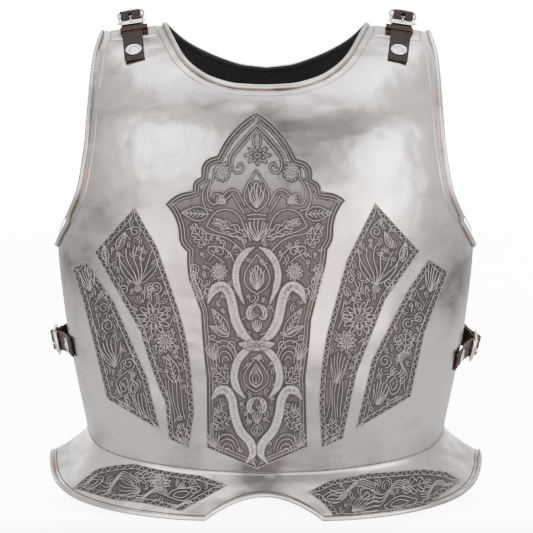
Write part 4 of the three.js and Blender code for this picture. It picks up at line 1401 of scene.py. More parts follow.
FLANGE_PANELS = rows_of(
    "name edges motifs on",
    ("flange_left_panel", FLANGE_LEFT, FLANGE_LEFT_MOTIFS, "front_flange_skin"),
    ("flange_right_panel", FLANGE_RIGHT, FLANGE_RIGHT_MOTIFS, "front_flange_skin"),
)


def at_level(line, level, axis):
    """Where a line crosses a level of x (axis 0) or y (axis 1), as its other coordinate."""
    for a, b in zip(line, line[1:]):
        if a[axis] <= level <= b[axis] and b[axis] > a[axis]:
            t = (level - a[axis]) / (b[axis] - a[axis])
            return lerp(a[1 - axis], b[1 - axis], t)
    return line[-1][1 - axis] if level > line[-1][axis] else line[0][1 - axis]


def tree_of(lines):
    """The places along lines, for finding the one that is nearest to a place."""
    places = [p for line in lines for p in spaced(line, 0.9)]
    tree = KDTree(len(places))
    for k, (x, y) in enumerate(places):
        tree.insert((x, y, 0), k)
    tree.balance()
    return tree


def ground_patch(cast, one, two, axis, lift, lines, step=1.3):
    """The ground between two edges that run along x (axis 0) or y (axis 1), with painted shade beside the
    lines.
    """
    low = one[0][axis]
    high = one[-1][axis]
    rows = max(2, round((high - low) / step))
    levels = [lerp(low, high, k / 8) for k in range(9)]
    widest = max(abs(at_level(one, level, axis) - at_level(two, level, axis)) for level in levels)
    columns = max(3, round(widest / step))

    def place(u, v):
        level = lerp(low + 0.05, high - 0.05, v)
        across = lerp(at_level(one, level, axis), at_level(two, level, axis), u)
        x, y = (level, across) if axis == 0 else (across, level)
        found = cast.at(x, y, lift)
        if found is None:
            return Vector((0, 0, 0))
        pixels[found.to_tuple(6)] = (x, y, 0)
        return found

    pixels = {}
    bm = grid_mesh(columns, rows, place)
    tree = tree_of(lines)
    # cut: painted shade of the ground beside the raised lines
    layer = bm.verts.layers.float.new("cut")
    for vert in bm.verts:
        pixel = pixels.get(vert.co.to_tuple(6))
        if pixel is not None:
            vert[layer] = 1 - smoothstep((tree.find(pixel)[2] - 0.6) / LINE_SHADE_REACH)
    lost = [vert for vert in bm.verts if vert.co.length < 1e-6]
    bmesh.ops.delete(bm, geom=lost, context="VERTS")
    bmesh.ops.remove_doubles(bm, verts=bm.verts, dist=1e-6)
    return bm


def inset(line, other, share, axis):
    """A line beside the first edge, inside the panel, at a distance in pixels towards the other edge."""
    result = []
    for k, p in enumerate(line):
        before = line[max(0, k - 1)]
        after = line[min(len(line) - 1, k + 1)]
        along = Vector((after[0] - before[0], after[1] - before[1])).normalized()
        across = Vector((along.y, -along.x))
        middle = at_level(other, p[axis], axis) - p[1 - axis]
        toward = Vector((middle, 0)) if axis == 1 else Vector((0, middle))
        if across.dot(toward) < 0:
            across = -across
        q = Vector(p) + across * min(share, abs(middle) * 0.45)
        result.append((q.x, q.y))
    return result


def zigzag(first, second, step):
    """A line that runs to and fro between two lines."""
    a = spaced(first, step)
    b = spaced(second, step)
    count = min(len(a), len(b))
    result = []
    for k in range(count):
        side = b if k % 2 else a
        result.append(side[round(k * (len(side) - 1) / (count - 1))])
    return result


def dashes(line, step, share):
    """Short pieces of a line, with gaps between them."""
    result = []
    for a, b in zip(line, line[1:]):
        count = max(1, round(math.dist(a, b) / step))
        for k in range(count):
            t = k / count
            u = t + share / count
            result.append([(lerp(a[0], b[0], w), lerp(a[1], b[1], w)) for w in (t, u)])
    return result


# The ground beside a raised line is darkened with painted shade.
LINE_SHADE_REACH = 2.2  # how far the ground beside a raised line is dark, in pixels
# Fillers, in pixels. tries: how many are tried. gap: to other lines. margin: from their middle to the edges.
# least, most: their size. clear: the y above which the central panel has none. within: from their lines to
# the edges.
FILLERS = {"tries": 2600, "gap": 3.2, "margin": 7.5, "least": 6.0, "most": 10.5, "clear": 236, "within": 5.5}


def inside_parts(line, one, two, axis, margin):
    """The parts of a line that lie inside a panel, clear of its edges."""
    runs = [[]]
    for p in line:
        a, b = sorted((at_level(one, p[axis], axis), at_level(two, p[axis], axis)))
        if one[0][axis] < p[axis] < one[-1][axis] and a + margin < p[1 - axis] < b - margin:
            runs[-1].append(p)
        elif runs[-1]:
            runs.append([])
    return [run for run in runs if len(run) > 1]


def fillers(one, two, axis, lines, seed):
    """Small curls and leaves in the ground that the motifs leave free."""
    taken = numpy.array([p for line in lines for p in spaced(line, 1.5)])
    chance = random.Random(seed)
    made = []
    for _ in range(FILLERS["tries"]):
        level = chance.uniform(one[0][axis], one[-1][axis])
        a, b = sorted((at_level(one, level, axis), at_level(two, level, axis)))
        if b - a < 2 * FILLERS["margin"] + 1 or (seed == "central" and level < FILLERS["clear"]):
            continue
        across = chance.uniform(a + FILLERS["margin"], b - FILLERS["margin"])
        x, y = (level, across) if axis == 0 else (across, level)
        if numpy.hypot(taken[:, 0] - x, taken[:, 1] - y).min() < FILLERS["gap"]:
            continue
        size = chance.uniform(FILLERS["least"], FILLERS["most"])
        name = chance.choice(("strokes", "strokes_left", "strokes", "strokes_left", "curl", "curl_left"))
        drawing = drawn(motif(name, x, y + size / 2, size, chance.uniform(-50, 50), 0.8 * size))
        within = FILLERS["within"]
        drawing = [part for line in drawing for part in inside_parts(line, one, two, axis, within)]
        if not drawing:
            continue
        made += drawing
        taken = numpy.vstack([taken, [p for line in drawing for p in line]])
    return made


def ornament(name, cast, bright):
    """The raised lines of a panel. Lines are in pixels, each with its share of the stroke's radius."""
    s = sizes()
    raised = [(cast.line(line, s.ground_lift), share) for line, share in bright]
    lines_object(name + "_lines", raised, s.stroke, "line")


# Borders of the panels, in pixels: outer line, inner line, step of the zigzag and clearance of the motifs
BORDER = {"rim": 0.5, "inner": 5.2, "step": 5.0, "clear": 1.2}


def side_panel(row, axis):
    """An etched panel with zigzag borders and its motifs."""
    cast = Cast(bpy.data.objects[row["on"]])
    one = bowed(row["edges"]["one"])
    two = bowed(row["edges"]["two"])
    bright = []
    for line, other in ((one, two), (two, one)):
        inner = inset(line, other, BORDER["inner"], axis)
        rim = inset(line, other, BORDER["rim"], axis)
        bright += [(rim, 0.8), (inner, 0.8), (zigzag(rim, inner, BORDER["step"]), 0.75)]
    for place in row["motifs"]:
        for line in drawn(place):
            bright += [(part, 1.0) for part in inside_parts(line, one, two, axis, BORDER["clear"])]
    bright += [(line, 0.9) for line in fillers(one, two, axis, [line for line, _ in bright], row["name"])]
    lines = [line for line, _ in bright]
    patch = ground_patch(cast, one, two, axis, sizes().ground_lift, lines)
    link(row["name"], mesh_from(row["name"], patch, material("ground")))
    ornament(row["name"], cast, bright)


def smooth_line(rows, steps=5):
    """A smooth curve through places of the photograph."""
    places = [Vector((row["x"], row["y"])) for row in rows]
    places = [2 * places[0] - places[1], *places, 2 * places[-1] - places[-2]]
    result = []
    for a, b, c, d in zip(places, places[1:], places[2:], places[3:]):
        for k in range(steps):
            t = k / steps
            bend = (2 * a - 5 * b + 4 * c - d) * t**2
            twist = (3 * b - a - 3 * c + d) * t**3
            p = 0.5 * (2 * b + (c - a) * t + bend + twist)
            result.append((p.x, p.y))
    result.append(tuple(places[-2]))
    return result


def band(cast, rows, width, mirror):
    """A broad raised band along a middle line, with its edges and its hatching."""
    line = smooth_line(rows)
    if mirror:
        line = [(2 * CENTRAL_AXIS - x, y) for x, y in line]
    sides = []
    for side in SIDES:
        run = []
        for k, p in enumerate(line):
            before = line[max(0, k - 1)]
            after = line[min(len(line) - 1, k + 1)]
            along = Vector((after[0] - before[0], after[1] - before[1])).normalized()
            taper = min(1.0, 0.2 + 0.8 * min(k, len(line) - 1 - k) / 6)
            half = side * width / 2 * taper
            run.append((p[0] + along.y * half, p[1] - along.x * half))
        sides.append(run)
    first = [Vector(p) for p in sides[0]]
    second = [Vector(p) for p in sides[1]]
    last = len(line) - 1

    def place(u, v):
        k = min(last - 1, int(v * last))
        t = v * last - k
        p = first[k].lerp(first[k + 1], t).lerp(second[k].lerp(second[k + 1], t), u)
        return cast.at(p.x, p.y, sizes().band_lift)

    hatch = []
    chance = random.Random(len(line))
    for k in range(last * 3):
        v = (k + chance.random()) / (last * 3)
        i = min(last - 1, int(v * last))
        t = v * last - i
        a = first[i].lerp(first[i + 1], t)
        b = second[i].lerp(second[i + 1], t)
        low = chance.uniform(0.08, 0.4)
        high = chance.uniform(0.6, 0.92)
        hatch.append((tuple(a.lerp(b, low)), tuple(a.lerp(b, high))))
    return grid_mesh(4, last * 2, place), sides, hatch


def build_central_panel():
    """The central panel with its rims, stems, motifs, bands and knot."""
    s = sizes()
    cast = Cast(bpy.data.objects["breastplate_skin"])
    left = bowed(CENTRAL_LEFT)
    right = bowed(CENTRAL_RIGHT)
    bright = []
    for line, other in ((left, right), (right, left)):
        for share, wide in ((0.4, 0.8), (3.4, 0.8), (6.6, 0.7)):
            bright.append((inset(line, other, share, 1), wide))
        lower = [p for p in inset(line, other, 5.0, 1) if p[1] > 255]
        bright += [(dash, 1.0) for dash in dashes(lower, 2.2, 0.55)]
    for place in CENTRAL_MIDDLE:
        bright += [(line, 0.95) for line in drawn(place)]
    for place in CENTRAL_HALF:
        for axis in (None, CENTRAL_AXIS):
            bright += [(line, 0.9) for line in drawn(place, axis)]
    for rows in STEMS:
        stem = smooth_line(rows)
        bright += [(stem, 1.0), ([(2 * CENTRAL_AXIS - x, y) for x, y in stem], 1.0)]
    bands = bmesh.new()
    edges = []
    hatches = []
    halves = [(rows, width, mirror) for rows, width in zip(BANDS, BAND_WIDTHS) for mirror in (False, True)]
    for rows, width, mirror in halves + [(KNOT, KNOT_WIDTH, False)]:
        patch, sides, hatch = band(cast, rows, width, mirror)
        data = bpy.data.meshes.new("band")
        patch.to_mesh(data)
        patch.free()
        bands.from_mesh(data)
        bpy.data.meshes.remove(data)
        edges += [(side, 1.0) for side in sides]
        hatches += hatch
    link("central_bands", mesh_from("central_bands", bands, material("band")))
    rims = [side for side, _ in edges]
    taken = [line for line, _ in bright] + rims
    bright += [(line, 0.9) for line in fillers(left, right, 1, taken, "central")]
    patch = ground_patch(cast, left, right, 1, s.ground_lift, [line for line, _ in bright] + rims)
    link("central_panel", mesh_from("central_panel", patch, material("ground")))
    ornament("central_panel", cast, bright)
    rims = [(cast.line(line, s.band_lift), share) for line, share in edges]
    lines_object("central_band_edges", rims, s.shade, "shade", 0)
    cuts = [(cast.line(list(pair), s.band_lift), 0.5) for pair in hatches]
    lines_object("central_band_hatching", cuts, s.shade * 0.8, "shade", 0)


# How far round lines stand off the sheet's edge or sink into it, as shares of their own radius. The lining's
# radius is a share of the roll's.
LIE = {
    "bead": 0.85,
    "lining": 0.2,
    "lining_radius": 0.9,
    "ridge": 0.1,
    "rim": 0.65,
    "groove": 0.1,
    "seam": 0.3,
}


# Rolled edges and hems
def edge_path(body, grid, which):
    """The neck edge or an arm edge on the +X side, as places with their normals."""
    split = grid["neck"] if which == "neck" else grid["arm"]
    side = left_side if which == "neck" else right_side
    path = []
    for j in range(split, grid["rows"] + 1):
        angle, z = side(body, grid, j / grid["rows"])
        path.append((body.point(angle, z), body.normal(angle, z)))
    return path


def with_outward(path, inner):
    """Adds to each place the direction that leads off the sheet there, away from a place within it."""
    result = []
    for k, (p, n) in enumerate(path):
        along = path[min(len(path) - 1, k + 1)][0] - path[max(0, k - 1)][0]
        out = along.cross(n).normalized()
        if out.dot(p - inner) < 0:
            out = -out
        result.append((p, n, out))
    return result


def rolled(body, grid, which):
    """Middle lines of the rolled edge, of its blackened inner side and of the ridge beside it."""
    s = sizes()
    inner = Vector((0.11, body.facing * 0.08 + s.depth_shift, 0.33))
    path = with_outward(edge_path(body, grid, which), inner)
    if which == "neck":
        p, n, out = path[0]
        path[0] = (
            Vector((0, p.y, p.z)),
            Vector((0, n.y, n.z)).normalized(),
            Vector((0, out.y, out.z)).normalized(),
        )
        path = [tuple(Vector((-a.x, a.y, a.z)) for a in row) for row in path[:0:-1]] + path
    bead = [p + out * (LIE["bead"] * s.roll_radius) + n * (s.roll_radius - s.steel) for p, n, out in path]
    lining = [p + out * s.roll_radius - n * (LIE["lining"] * s.roll_radius) for p, n, out in path]
    ridge = []
    for p, _, out in path:
        on, normal = body.onto(p - out * s.ridge_in)
        ridge.append(on + normal * (s.ridge_radius * LIE["ridge"]))
    return bead, lining, ridge


def flipped(line):
    """A line's mirror image across x = 0."""
    return [Vector((-p.x, p.y, p.z)) for p in line]


def hem_mesh(body):
    """The hem folded over the top of the +X shoulder, as a strip on the plate, and its mirror image."""
    s = sizes()
    inner = s.neck_span / 2 + s.hem_margin
    outer = s.shoulder_span / 2 - s.hem_margin
    middle = (inner + outer) / 2
    edge_top = body.point(body.angle_at(middle, top_at(middle)), top_at(middle))

    def slant(d):
        z = top_at(middle) - d
        return (body.point(body.angle_at(middle, z), z) - edge_top).length

    drop_z = solve(slant, s.hem_width, 0, s.hem_width)

    def place(u, v):
        x = lerp(inner, outer, u)
        z = top_at(x) - drop_z * (1 - v)
        angle = body.angle_at(x, z)
        swell = s.hem_rise * (1.0 - 0.25 * (2 * v - 1) ** 6)
        return body.point(angle, z) + body.normal(angle, z) * swell

    bm = grid_mesh(16, 10, place)
    facing_out(bm, body.facing)
    other = bm.copy()
    for vert in other.verts:
        vert.co.x = -vert.co.x
    bmesh.ops.reverse_faces(other, faces=other.faces)
    data = bpy.data.meshes.new("hem half")
    other.to_mesh(data)
    other.free()
    bm.from_mesh(data)
    bpy.data.meshes.remove(data)
    return bm


# Buckles, straps and rivets
def points_of(node):
    """The vertices of a CAD node."""
    return numpy.array([v.co[:] for v in frame["nodes"][node].data.vertices])


def axes_of(node):
    """The three axes of a node's shape, the longest first."""
    places = numpy.unique(points_of(node).round(6), axis=0)
    spread = places - places.mean(0)
    _, vectors = numpy.linalg.eigh(spread.T @ spread)
    return [Vector(vectors[:, k]) for k in (2, 1, 0)]


def middle_of(node):
    """The middle of a CAD node's box."""
    places = points_of(node)
    return Vector((places.min(0) + places.max(0)) / 2)


def extent(node, axis):
    """How far a CAD node reaches along an axis, as its least and most."""
    along = points_of(node) @ numpy.array(axis)
    return along.min(), along.max()


def buckle_matrix(strap):
    """A buckle's own frame: x from its bar to the round end, y away from the plates, z along the bar."""
    s = sizes()
    node = strap + "_buckle_frame"
    roller = middle_of(strap + "_buckle_roller")
    prong = middle_of(strap + "_buckle_prong")
    flat = axes_of(node)[2]
    bar = Vector(axes_of(strap + "_buckle_roller")[0])
    low, high = extent(strap + "_buckle_roller", bar)
    if abs(high - low) < 4 * s.roller:
        raise RuntimeError(f"the roller of {strap} has no long axis")
    if flat.dot(prong - middle_of(node)) < 0:
        flat = -flat
    along = flat.cross(bar).normalized()
    if along.dot(middle_of(node) - roller) < 0:
        along = -along
    bar = along.cross(flat).normalized()
    flat = bar.cross(along).normalized()
    start = extent(node, along)[0] + s.wire + s.buckle_reach
    centre = middle_of(node)
    centre = centre + along * (start - centre.dot(along))
    return Matrix(
        (
            (along.x, flat.x, bar.x, centre.x),
            (along.y, flat.y, bar.y, centre.y),
            (along.z, flat.z, bar.z, centre.z),
            (0, 0, 0, 1),
        )
    )


def turned(name, profile, matrix, material_name, steps=32):
    """A round piece: a section (radius, height) spun around the matrix's y axis."""
    bm = bmesh.new()
    ring = [bm.verts.new((r, h, 0)) for r, h in profile]
    edges = [bm.edges.new(pair) for pair in zip(ring, ring[1:])]
    bmesh.ops.spin(
        bm,
        geom=ring + edges,
        cent=(0, 0, 0),
        axis=(0, 1, 0),
        angle=2 * math.pi,
        steps=steps,
        use_merge=True,
    )
    bmesh.ops.remove_doubles(bm, verts=bm.verts, dist=1e-7)
    bmesh.ops.transform(bm, matrix=matrix, verts=bm.verts)
    return link(name, mesh_from(name, bm, material(material_name)))


def buckle_wires(name, lines, matrix, radius):
    """Round wires through places in a buckle's own frame. Each is (points, share of the radius, closed)."""
    placed = []
    for points, share, closed in lines:
        placed.append(([matrix @ Vector(place) for place in points], share, closed))
    return lines_object(name, placed, radius, "nickel", 3, 1.0)


STRAPS = ("right_shoulder", "left_shoulder", "right_side", "left_side")
KEEPERS = ("right_shoulder", "left_shoulder")
BAR_HOLE = 0.0017
# Small sizes of a buckle: the frame's square corners, the sleeve's clearance and lip, the prong's clearance
# over the roller, how far its eye stands off the bar and how far its tip bends down
BUCKLE = {"corner": 0.0016, "sleeve": 0.00015, "lip": 0.0004, "over": 0.0003, "eye": 0.00065, "tip": 0.0007}
# Small sizes of a rivet: the head's height, the washer's thickness and groove, and the shank's radius
RIVET = {"head": 0.0013, "washer": 0.001, "shank": 0.002, "groove": 0.0004}


def build_buckle(strap):
    """A buckle's frame, roller and prong."""
    s = sizes()
    matrix = buckle_matrix(strap)
    half = s.buckle_half
    rise = 0.4 * s.buckle_round
    bow = rise + (s.buckle_round - rise) / 0.75
    loop = []
    for w in (half, -half):
        corner = BUCKLE["corner"]
        for k in range(5):
            a = math.pi / 2 * k / 4
            inner = corner * (1 - math.sin(a)), corner * (1 - math.cos(a))
            along = -s.buckle_reach + (inner[1] if w > 0 else inner[0])
            across = (half - (inner[0] if w > 0 else inner[1])) * (1 if w > 0 else -1)
            loop.append((along, 0, across))
    for k in range(25):
        t = k / 24
        u = rise * ((1 - t) ** 3 + t**3) + bow * 3 * t * (1 - t)
        w = -half * ((1 - t) ** 3 + 3 * (1 - t) ** 2 * t) + half * (3 * (1 - t) * t**2 + t**3)
        loop.append((u, 0, w))
    bar = [(0, 0, -half), (0, 0, half)]
    name = strap + "_buckle_frame"
    piece = buckle_wires(name + "_wire", [(loop, 1.0, True), (bar, 0.97, False)], matrix, s.wire)
    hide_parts(name)

    low, high = extent(strap + "_buckle_roller", matrix.col[2].to_3d())
    long = (high - low) / 2
    inner = s.wire + BUCKLE["sleeve"]
    lip = BUCKLE["lip"]
    profile = (
        (inner, -long),
        (s.roller - lip, -long),
        (s.roller, -long + lip),
        (s.roller, long - lip),
        (s.roller - lip, long),
        (inner, long),
        (inner, -long),
    )
    stand = matrix @ Matrix.Translation((-s.buckle_reach, 0, 0)) @ Matrix.Rotation(math.pi / 2, 4, "X")
    piece = turned(strap + "_roller_sleeve", profile, stand, "nickel")
    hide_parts(strap + "_buckle_roller")

    rest = s.roller + BUCKLE["over"] + s.prong
    eye_radius = BAR_HOLE + BUCKLE["eye"]
    turns = [2 * math.pi * k / 20 for k in range(20)]
    ring = [(eye_radius * math.cos(a), eye_radius * math.sin(a), 0) for a in turns]
    tongue = [
        (-BAR_HOLE - 0.0006, 0.0008, 0),
        (-s.buckle_reach * 0.55, rest * 0.62, 0),
        (-s.buckle_reach + s.prong, rest, 0),
        (-s.buckle_reach - s.prong, rest, 0),
        (-s.buckle_reach - 3.4 * s.prong, rest - BUCKLE["tip"], 0),
    ]
    piece = buckle_wires(strap + "_prong", [(ring, 0.62, True), (tongue, 0.95, False)], matrix, s.prong)
    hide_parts(strap + "_buckle_prong")


def build_rivet(strap, end):
    """A rivet with its washer, whose axis and ends come from the CAD's."""
    s = sizes()
    node = f"{strap}_{end}_rivet"
    places = numpy.unique(points_of(node).round(6), axis=0)
    centre_of = Vector(places.mean(0))
    best = None
    for axis in axes_of(node):
        offsets = places - places.mean(0)
        along = offsets @ numpy.array(axis)
        across = numpy.linalg.norm(offsets - numpy.outer(along, numpy.array(axis)), axis=1)
        wide = numpy.sort(across)[-8:]
        score = wide.max() - wide.min()
        if best is None or score < best[0]:
            best = (score, axis, along, across)
    _, axis, along, across = best
    top = along[across > s.washer * 0.85].mean() > (along.min() + along.max()) / 2
    if not top:
        axis = -axis
        along = -along
    low = along.min()
    high = along.max()
    face = high - RIVET["head"]
    under = low + RIVET["head"]
    back = face - RIVET["washer"]
    groove = face - RIVET["groove"]
    profile = (
        (0.0, low),
        (s.rivet_head * 0.7, low),
        (s.rivet_head, under),
        (RIVET["shank"], under),
        (RIVET["shank"], back),
        (s.washer - 0.0003, back),
        (s.washer, face - 0.0007),
        (s.washer - 0.0004, face - 0.0001),
        (s.washer - 0.0016, face),
        (s.washer - 0.0021, groove),
        (s.washer - 0.0029, groove),
        (s.washer - 0.0034, face),
        (s.rivet_head + 0.0003, face),
        (s.rivet_head, face + 0.0002),
        (s.rivet_head * 0.85, face + 0.0008),
        (s.rivet_head * 0.5, face + 0.00125),
        (0.0, high),
    )
    turn = axis.to_track_quat("Y", "Z").to_matrix().to_4x4()
    stand = Matrix.Translation(centre_of) @ turn
    piece = turned(f"{strap}_{end}_washer", profile, stand, "washer")
    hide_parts(node)


def build_leather(node, across):
    """A strap: the CAD's shape with its edges rounded, its cut sides in another colour."""
    s = sizes()
    bm = bmesh.new()
    bm.from_mesh(frame["nodes"][node].data)
    bmesh.ops.remove_doubles(bm, verts=bm.verts, dist=1e-5)
    bmesh.ops.dissolve_limit(bm, angle_limit=math.radians(1.0), verts=bm.verts, edges=bm.edges)
    for face in bm.faces:
        face.material_index = 1 if abs(face.normal.dot(across)) > 0.7 else 0
    sharp = [e for e in bm.edges if len(e.link_faces) == 2 and e.calc_face_angle() > math.radians(50)]
    bmesh.ops.bevel(
        bm,
        geom=sharp,
        offset=s.bevel,
        segments=2,
        affect="EDGES",
        profile=0.5,
        material=-1,
        clamp_overlap=True,
    )
    bmesh.ops.triangulate(bm, faces=[f for f in bm.faces if len(f.verts) > 4])
    name = node + "_leather"
    data = mesh_from(name, bm, material("leather"), material("cut"))
    data.shade_smooth()
    data.set_sharp_from_angle(angle=math.radians(38))
    piece = link(name, data)
    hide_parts(node)


# Operators
class CUIRASS_OT_plates(bpy.types.Operator):
    """Breastplate and backplate: smooth thin sheets with a blackened inside"""

    bl_idname = "cuirass.plates"
    bl_label = "Plates"

    def execute(self, context):
        for facing, grid, name in ((-1, BREAST_GRID, "breastplate"), (1, BACK_GRID, "backplate")):
            body = Body(facing)
            cache = {}

            def place(u, v, body=body, grid=grid, cache=cache):
                angle, z = plate_place(body, grid, u, v, cache)
                p = body.point(angle, z)
                if u == 0 and v <= grid["neck"] / grid["rows"]:
                    p.x = 0
                return p

            bm = mirrored(grid_mesh(grid["columns"], grid["rows"], place))
            piece = sheet_object(name + "_skin", bm, body, material("steel"), material("inside"))
            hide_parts(name)
        return {"FINISHED"}


class CUIRASS_OT_flanges(bpy.types.Operator):
    """Front and back flanges: flared sheets lapped behind the waist"""

    bl_idname = "cuirass.flanges"
    bl_label = "Flanges"

    def execute(self, context):
        s = sizes()
        for facing, grid, name in ((-1, BREAST_GRID, "front_flange"), (1, BACK_GRID, "back_flange")):
            body = Body(facing)

            def place(u, v, body=body):
                p = flange_point(body, u, v)
                if u == 0:
                    p.x = 0
                return p

            bm = mirrored(grid_mesh(grid["columns"], FLANGE_GRID["rows"], place))
            piece = sheet_object(name + "_skin", bm, body, material("steel"), material("inside"))
            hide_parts(name)
            rim = []
            line = []
            columns = grid["columns"]
            for i in range(-columns, columns + 1):
                u = abs(i) / columns
                p = flange_point(body, u, 0.0)
                q = flange_point(body, u, 0.06)
                v = solve(lambda v, u=u, p=p: (flange_point(body, u, v) - p).length, s.groove_in, 0.0, 0.6)
                r = flange_point(body, u, v)
                out = (p - q).normalized()
                ahead = flange_point(body, min(1.0, u + 0.01), 0.0)
                side = ahead - flange_point(body, max(0.0, u - 0.01), 0.0)
                n = side.cross(out).normalized()
                if n.z < 0:
                    n = -n
                centre = p + out * (LIE["rim"] * s.rim_radius) + n * (s.rim_radius - s.steel)
                centre.z = max(centre.z, s.rim_radius)
                thin = r - n * (LIE["groove"] * s.groove)
                if i < 0:
                    centre.x = -centre.x
                    thin.x = -thin.x
                rim.append(centre)
                line.append(thin)
            lines_object(name + "_rim", [(rim, 1.0)], s.rim_radius, "steel", 4)
            lines_object(name + "_groove", [(line, 1.0)], s.groove, "shade")
        return {"FINISHED"}


class CUIRASS_OT_edges(bpy.types.Operator):
    """Rolled neck and arm edges, the ridge inside them, and the hems over the shoulders"""

    bl_idname = "cuirass.edges"
    bl_label = "Rolled edges and hems"

    def execute(self, context):
        s = sizes()
        for facing, grid, name in ((-1, BREAST_GRID, "breast"), (1, BACK_GRID, "back")):
            body = Body(facing)
            beads = []
            ridges = []
            linings = []
            half = []
            for k in range(grid["columns"] + 1):
                angle = math.pi / 2 * k / grid["columns"]
                z = body.waist(angle) + s.seam_in
                half.append(body.point(angle, z) - body.normal(angle, z) * (LIE["seam"] * s.groove))
            half[0].x = 0
            seam = [(flipped(half)[:0:-1] + half, 1.0)]
            lines_object(name + "_waist_line", seam, s.groove, "shade")
            for which in ("neck", "arm"):
                bead, lining, ridge = rolled(body, grid, which)
                beads.append((bead, 1.0))
                if facing > 0:
                    linings.append((lining, 1.0))
                    if which == "arm":
                        linings.append((flipped(lining), 1.0))
                ridges.append((ridge[2:-2], 1.0))
                if which == "arm":
                    beads.append((flipped(bead), 1.0))
                    ridges.append((flipped(ridge[2:-2]), 1.0))
            lines_object(name + "_rolled_edges", beads, s.roll_radius, "steel", 4)
            if linings:
                lines_object("back_edge_linings", linings, LIE["lining_radius"] * s.roll_radius, "inside", 3)
            lines_object(name + "_edge_ridges", ridges, s.ridge_radius, "steel", 2)
            data = mesh_from(name + "_hems", hem_mesh(body), material("steel"))
            piece = link(name + "_hems", data)
            fold = piece.modifiers.new("Fold", "SOLIDIFY")
            fold.thickness = s.hem_rise
            fold.offset = -1
            soft = piece.modifiers.new("Soft edge", "BEVEL")
            soft.width = 0.0003
            soft.segments = 2
            soft.limit_method = "ANGLE"
        return {"FINISHED"}


class CUIRASS_OT_central_panel(bpy.types.Operator):
    """The etched panel in the middle of the breast"""

    bl_idname = "cuirass.central_panel"
    bl_label = "Central panel"

    def execute(self, context):
        build_central_panel()
        return {"FINISHED"}


class CUIRASS_OT_side_panels(bpy.types.Operator):
    """The four etched panels beside it, and the two on the front flange"""

    bl_idname = "cuirass.side_panels"
    bl_label = "Side and flange panels"

    def execute(self, context):
        for row in PANELS:
            side_panel(row, 1)
        for row in FLANGE_PANELS:
            side_panel(row, 0)
        return {"FINISHED"}


class CUIRASS_OT_straps(bpy.types.Operator):
    """Leather straps and keepers"""

    bl_idname = "cuirass.straps"
    bl_label = "Straps"

    def execute(self, context):
        for strap in STRAPS:
            across = buckle_matrix(strap).col[2].to_3d()
            for part in ("front_strap", "buckle_strap"):
                build_leather(f"{strap}_{part}", across)
            if strap in KEEPERS:
                build_leather(strap + "_keeper", buckle_matrix(strap).col[0].to_3d())
        return {"FINISHED"}


class CUIRASS_OT_buckles(bpy.types.Operator):
    """Buckle frames, rollers and prongs"""

    bl_idname = "cuirass.buckles"
    bl_label = "Buckles"

    def execute(self, context):
        for strap in STRAPS:
            build_buckle(strap)
        return {"FINISHED"}


class CUIRASS_OT_rivets(bpy.types.Operator):
    """Rivets and washers that hold the straps"""

    bl_idname = "cuirass.rivets"
    bl_label = "Rivets"

    def execute(self, context):
        for strap in STRAPS:
            for end in ("front", "back"):
                build_rivet(strap, end)
        return {"FINISHED"}


class CUIRASS_OT_stage(bpy.types.Operator):
    """Floor, lights and camera"""

    bl_idname = "cuirass.stage"
    bl_label = "Stage"

    def execute(self, context):
        bm = bmesh.new()
        bmesh.ops.create_grid(bm, x_segments=1, y_segments=1, size=STUDIO["half"])
        data = mesh_from("Floor", bm, material("floor"))
        floor = bpy.data.objects.new("Floor", data)
        bpy.context.scene.collection.objects.link(floor)
        floor.visible_glossy = False
        world = bpy.data.worlds.new("Studio")
        world.use_nodes = True
        back = world.node_tree.nodes["Background"]
        back.inputs["Color"].default_value = (1.0, 0.995, 0.985, 1.0)
        back.inputs["Strength"].default_value = STUDIO["world"]
        bpy.context.scene.world = world
        bm = bmesh.new()
        behind = Matrix.Translation((0, STUDIO["behind"], 0)) @ Matrix.Rotation(math.pi / 2, 4, "X")
        bmesh.ops.create_grid(bm, x_segments=1, y_segments=1, size=STUDIO["half"], matrix=behind)
        wall = Nodes("Backdrop")
        wall.paint(colours().floor)
        wall.set("Emission Color", (1.0, 1.0, 1.0, 1.0))
        wall.set("Emission Strength", STUDIO["backdrop"])
        backdrop = bpy.data.objects.new("Backdrop", mesh_from("Backdrop", bm, wall.material))
        backdrop.visible_glossy = False
        bpy.context.scene.collection.objects.link(backdrop)
        for row in LIGHTS:
            lamp = bpy.data.lights.new(row["name"], "AREA")
            lamp.shape = "RECTANGLE"
            lamp.size = row["wide"]
            lamp.size_y = row["high"]
            lamp.energy = row["watts"]
            lamp.color = (1.0, 1.0 - 0.6 * row["warm"], 1.0 - row["warm"])
            light = bpy.data.objects.new(row["name"], lamp)
            bpy.context.scene.collection.objects.link(light)
            light.location = row["at"]
            light.rotation_euler = (VIEW["target"] - light.location).to_track_quat("-Z", "Y").to_euler()
        lens = bpy.data.cameras.new("Photo")
        lens.sensor_width = PHOTO["sensor"] * 1000
        lens.lens = PHOTO["focal"] / PHOTO["width"] * PHOTO["sensor"] * 1000
        lens.clip_end = 30
        camera = bpy.data.objects.new("Photo", lens)
        bpy.context.scene.collection.objects.link(camera)
        place, turn = eye()
        camera.location = place
        camera.rotation_euler = turn.to_euler()
        bpy.context.scene.camera = camera
        return {"FINISHED"}


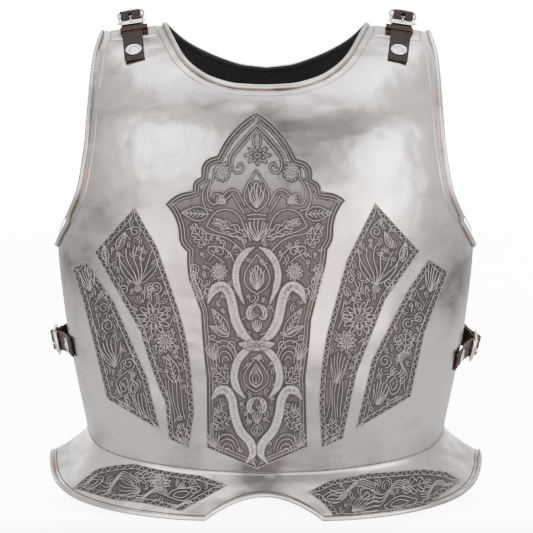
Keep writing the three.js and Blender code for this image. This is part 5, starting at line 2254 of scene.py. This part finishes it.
LIGHTS = rows_of(
    "name at wide high watts warm",
    ("Key", Vector((-1.6, -2.4, 2.2)), 1.6, 1.6, 72.0, 0.0),
    ("Fill", Vector((2.0, -2.0, 1.3)), 1.4, 1.8, 60.0, 0.0),
    ("Top", Vector((0.0, -0.2, 2.6)), 2.0, 1.4, 45.0, 0.0),
    ("Rear", Vector((1.5, 2.4, 1.7)), 1.0, 1.4, 70.0, 0.0),
    ("Rear left", Vector((-1.9, 1.9, 1.2)), 0.8, 1.6, 18.0, 0.0),
    ("Bounce", Vector((0.0, -1.5, 0.04)), 3.4, 1.2, 50.0, 0.25),
)


class CUIRASS_PT_panel(bpy.types.Panel):
    """The cuirass's sizes, colours and pieces"""

    bl_label = "Steel cuirass"
    bl_idname = "CUIRASS_PT_panel"
    bl_space_type = "VIEW_3D"
    bl_region_type = "UI"
    bl_category = "Cuirass"

    def draw(self, context):
        for group in (context.scene.cuirass_sizes, context.scene.cuirass_colours):
            box = self.layout.box()
            for name in group.__annotations__:
                box.prop(group, name)
        for operator in OPERATORS:
            self.layout.operator(operator.bl_idname)


OPERATORS = (
    CUIRASS_OT_plates,
    CUIRASS_OT_flanges,
    CUIRASS_OT_edges,
    CUIRASS_OT_central_panel,
    CUIRASS_OT_side_panels,
    CUIRASS_OT_straps,
    CUIRASS_OT_buckles,
    CUIRASS_OT_rivets,
    CUIRASS_OT_stage,
)
CLASSES = (CuirassSizes, CuirassColours, *OPERATORS, CUIRASS_PT_panel)


def register():
    for item in CLASSES:
        bpy.utils.register_class(item)
    bpy.types.Scene.cuirass_sizes = bpy.props.PointerProperty(type=CuirassSizes)
    bpy.types.Scene.cuirass_colours = bpy.props.PointerProperty(type=CuirassColours)


def unregister():
    del bpy.types.Scene.cuirass_colours
    del bpy.types.Scene.cuirass_sizes
    for item in reversed(CLASSES):
        bpy.utils.unregister_class(item)


def main():
    register()
    bpy.ops.cuirass.plates()
    bpy.ops.cuirass.flanges()
    bpy.ops.cuirass.edges()
    bpy.ops.cuirass.central_panel()
    bpy.ops.cuirass.side_panels()
    bpy.ops.cuirass.straps()
    bpy.ops.cuirass.buckles()
    bpy.ops.cuirass.rivets()
    bpy.ops.cuirass.stage()


if __name__ == "__main__":
    main()
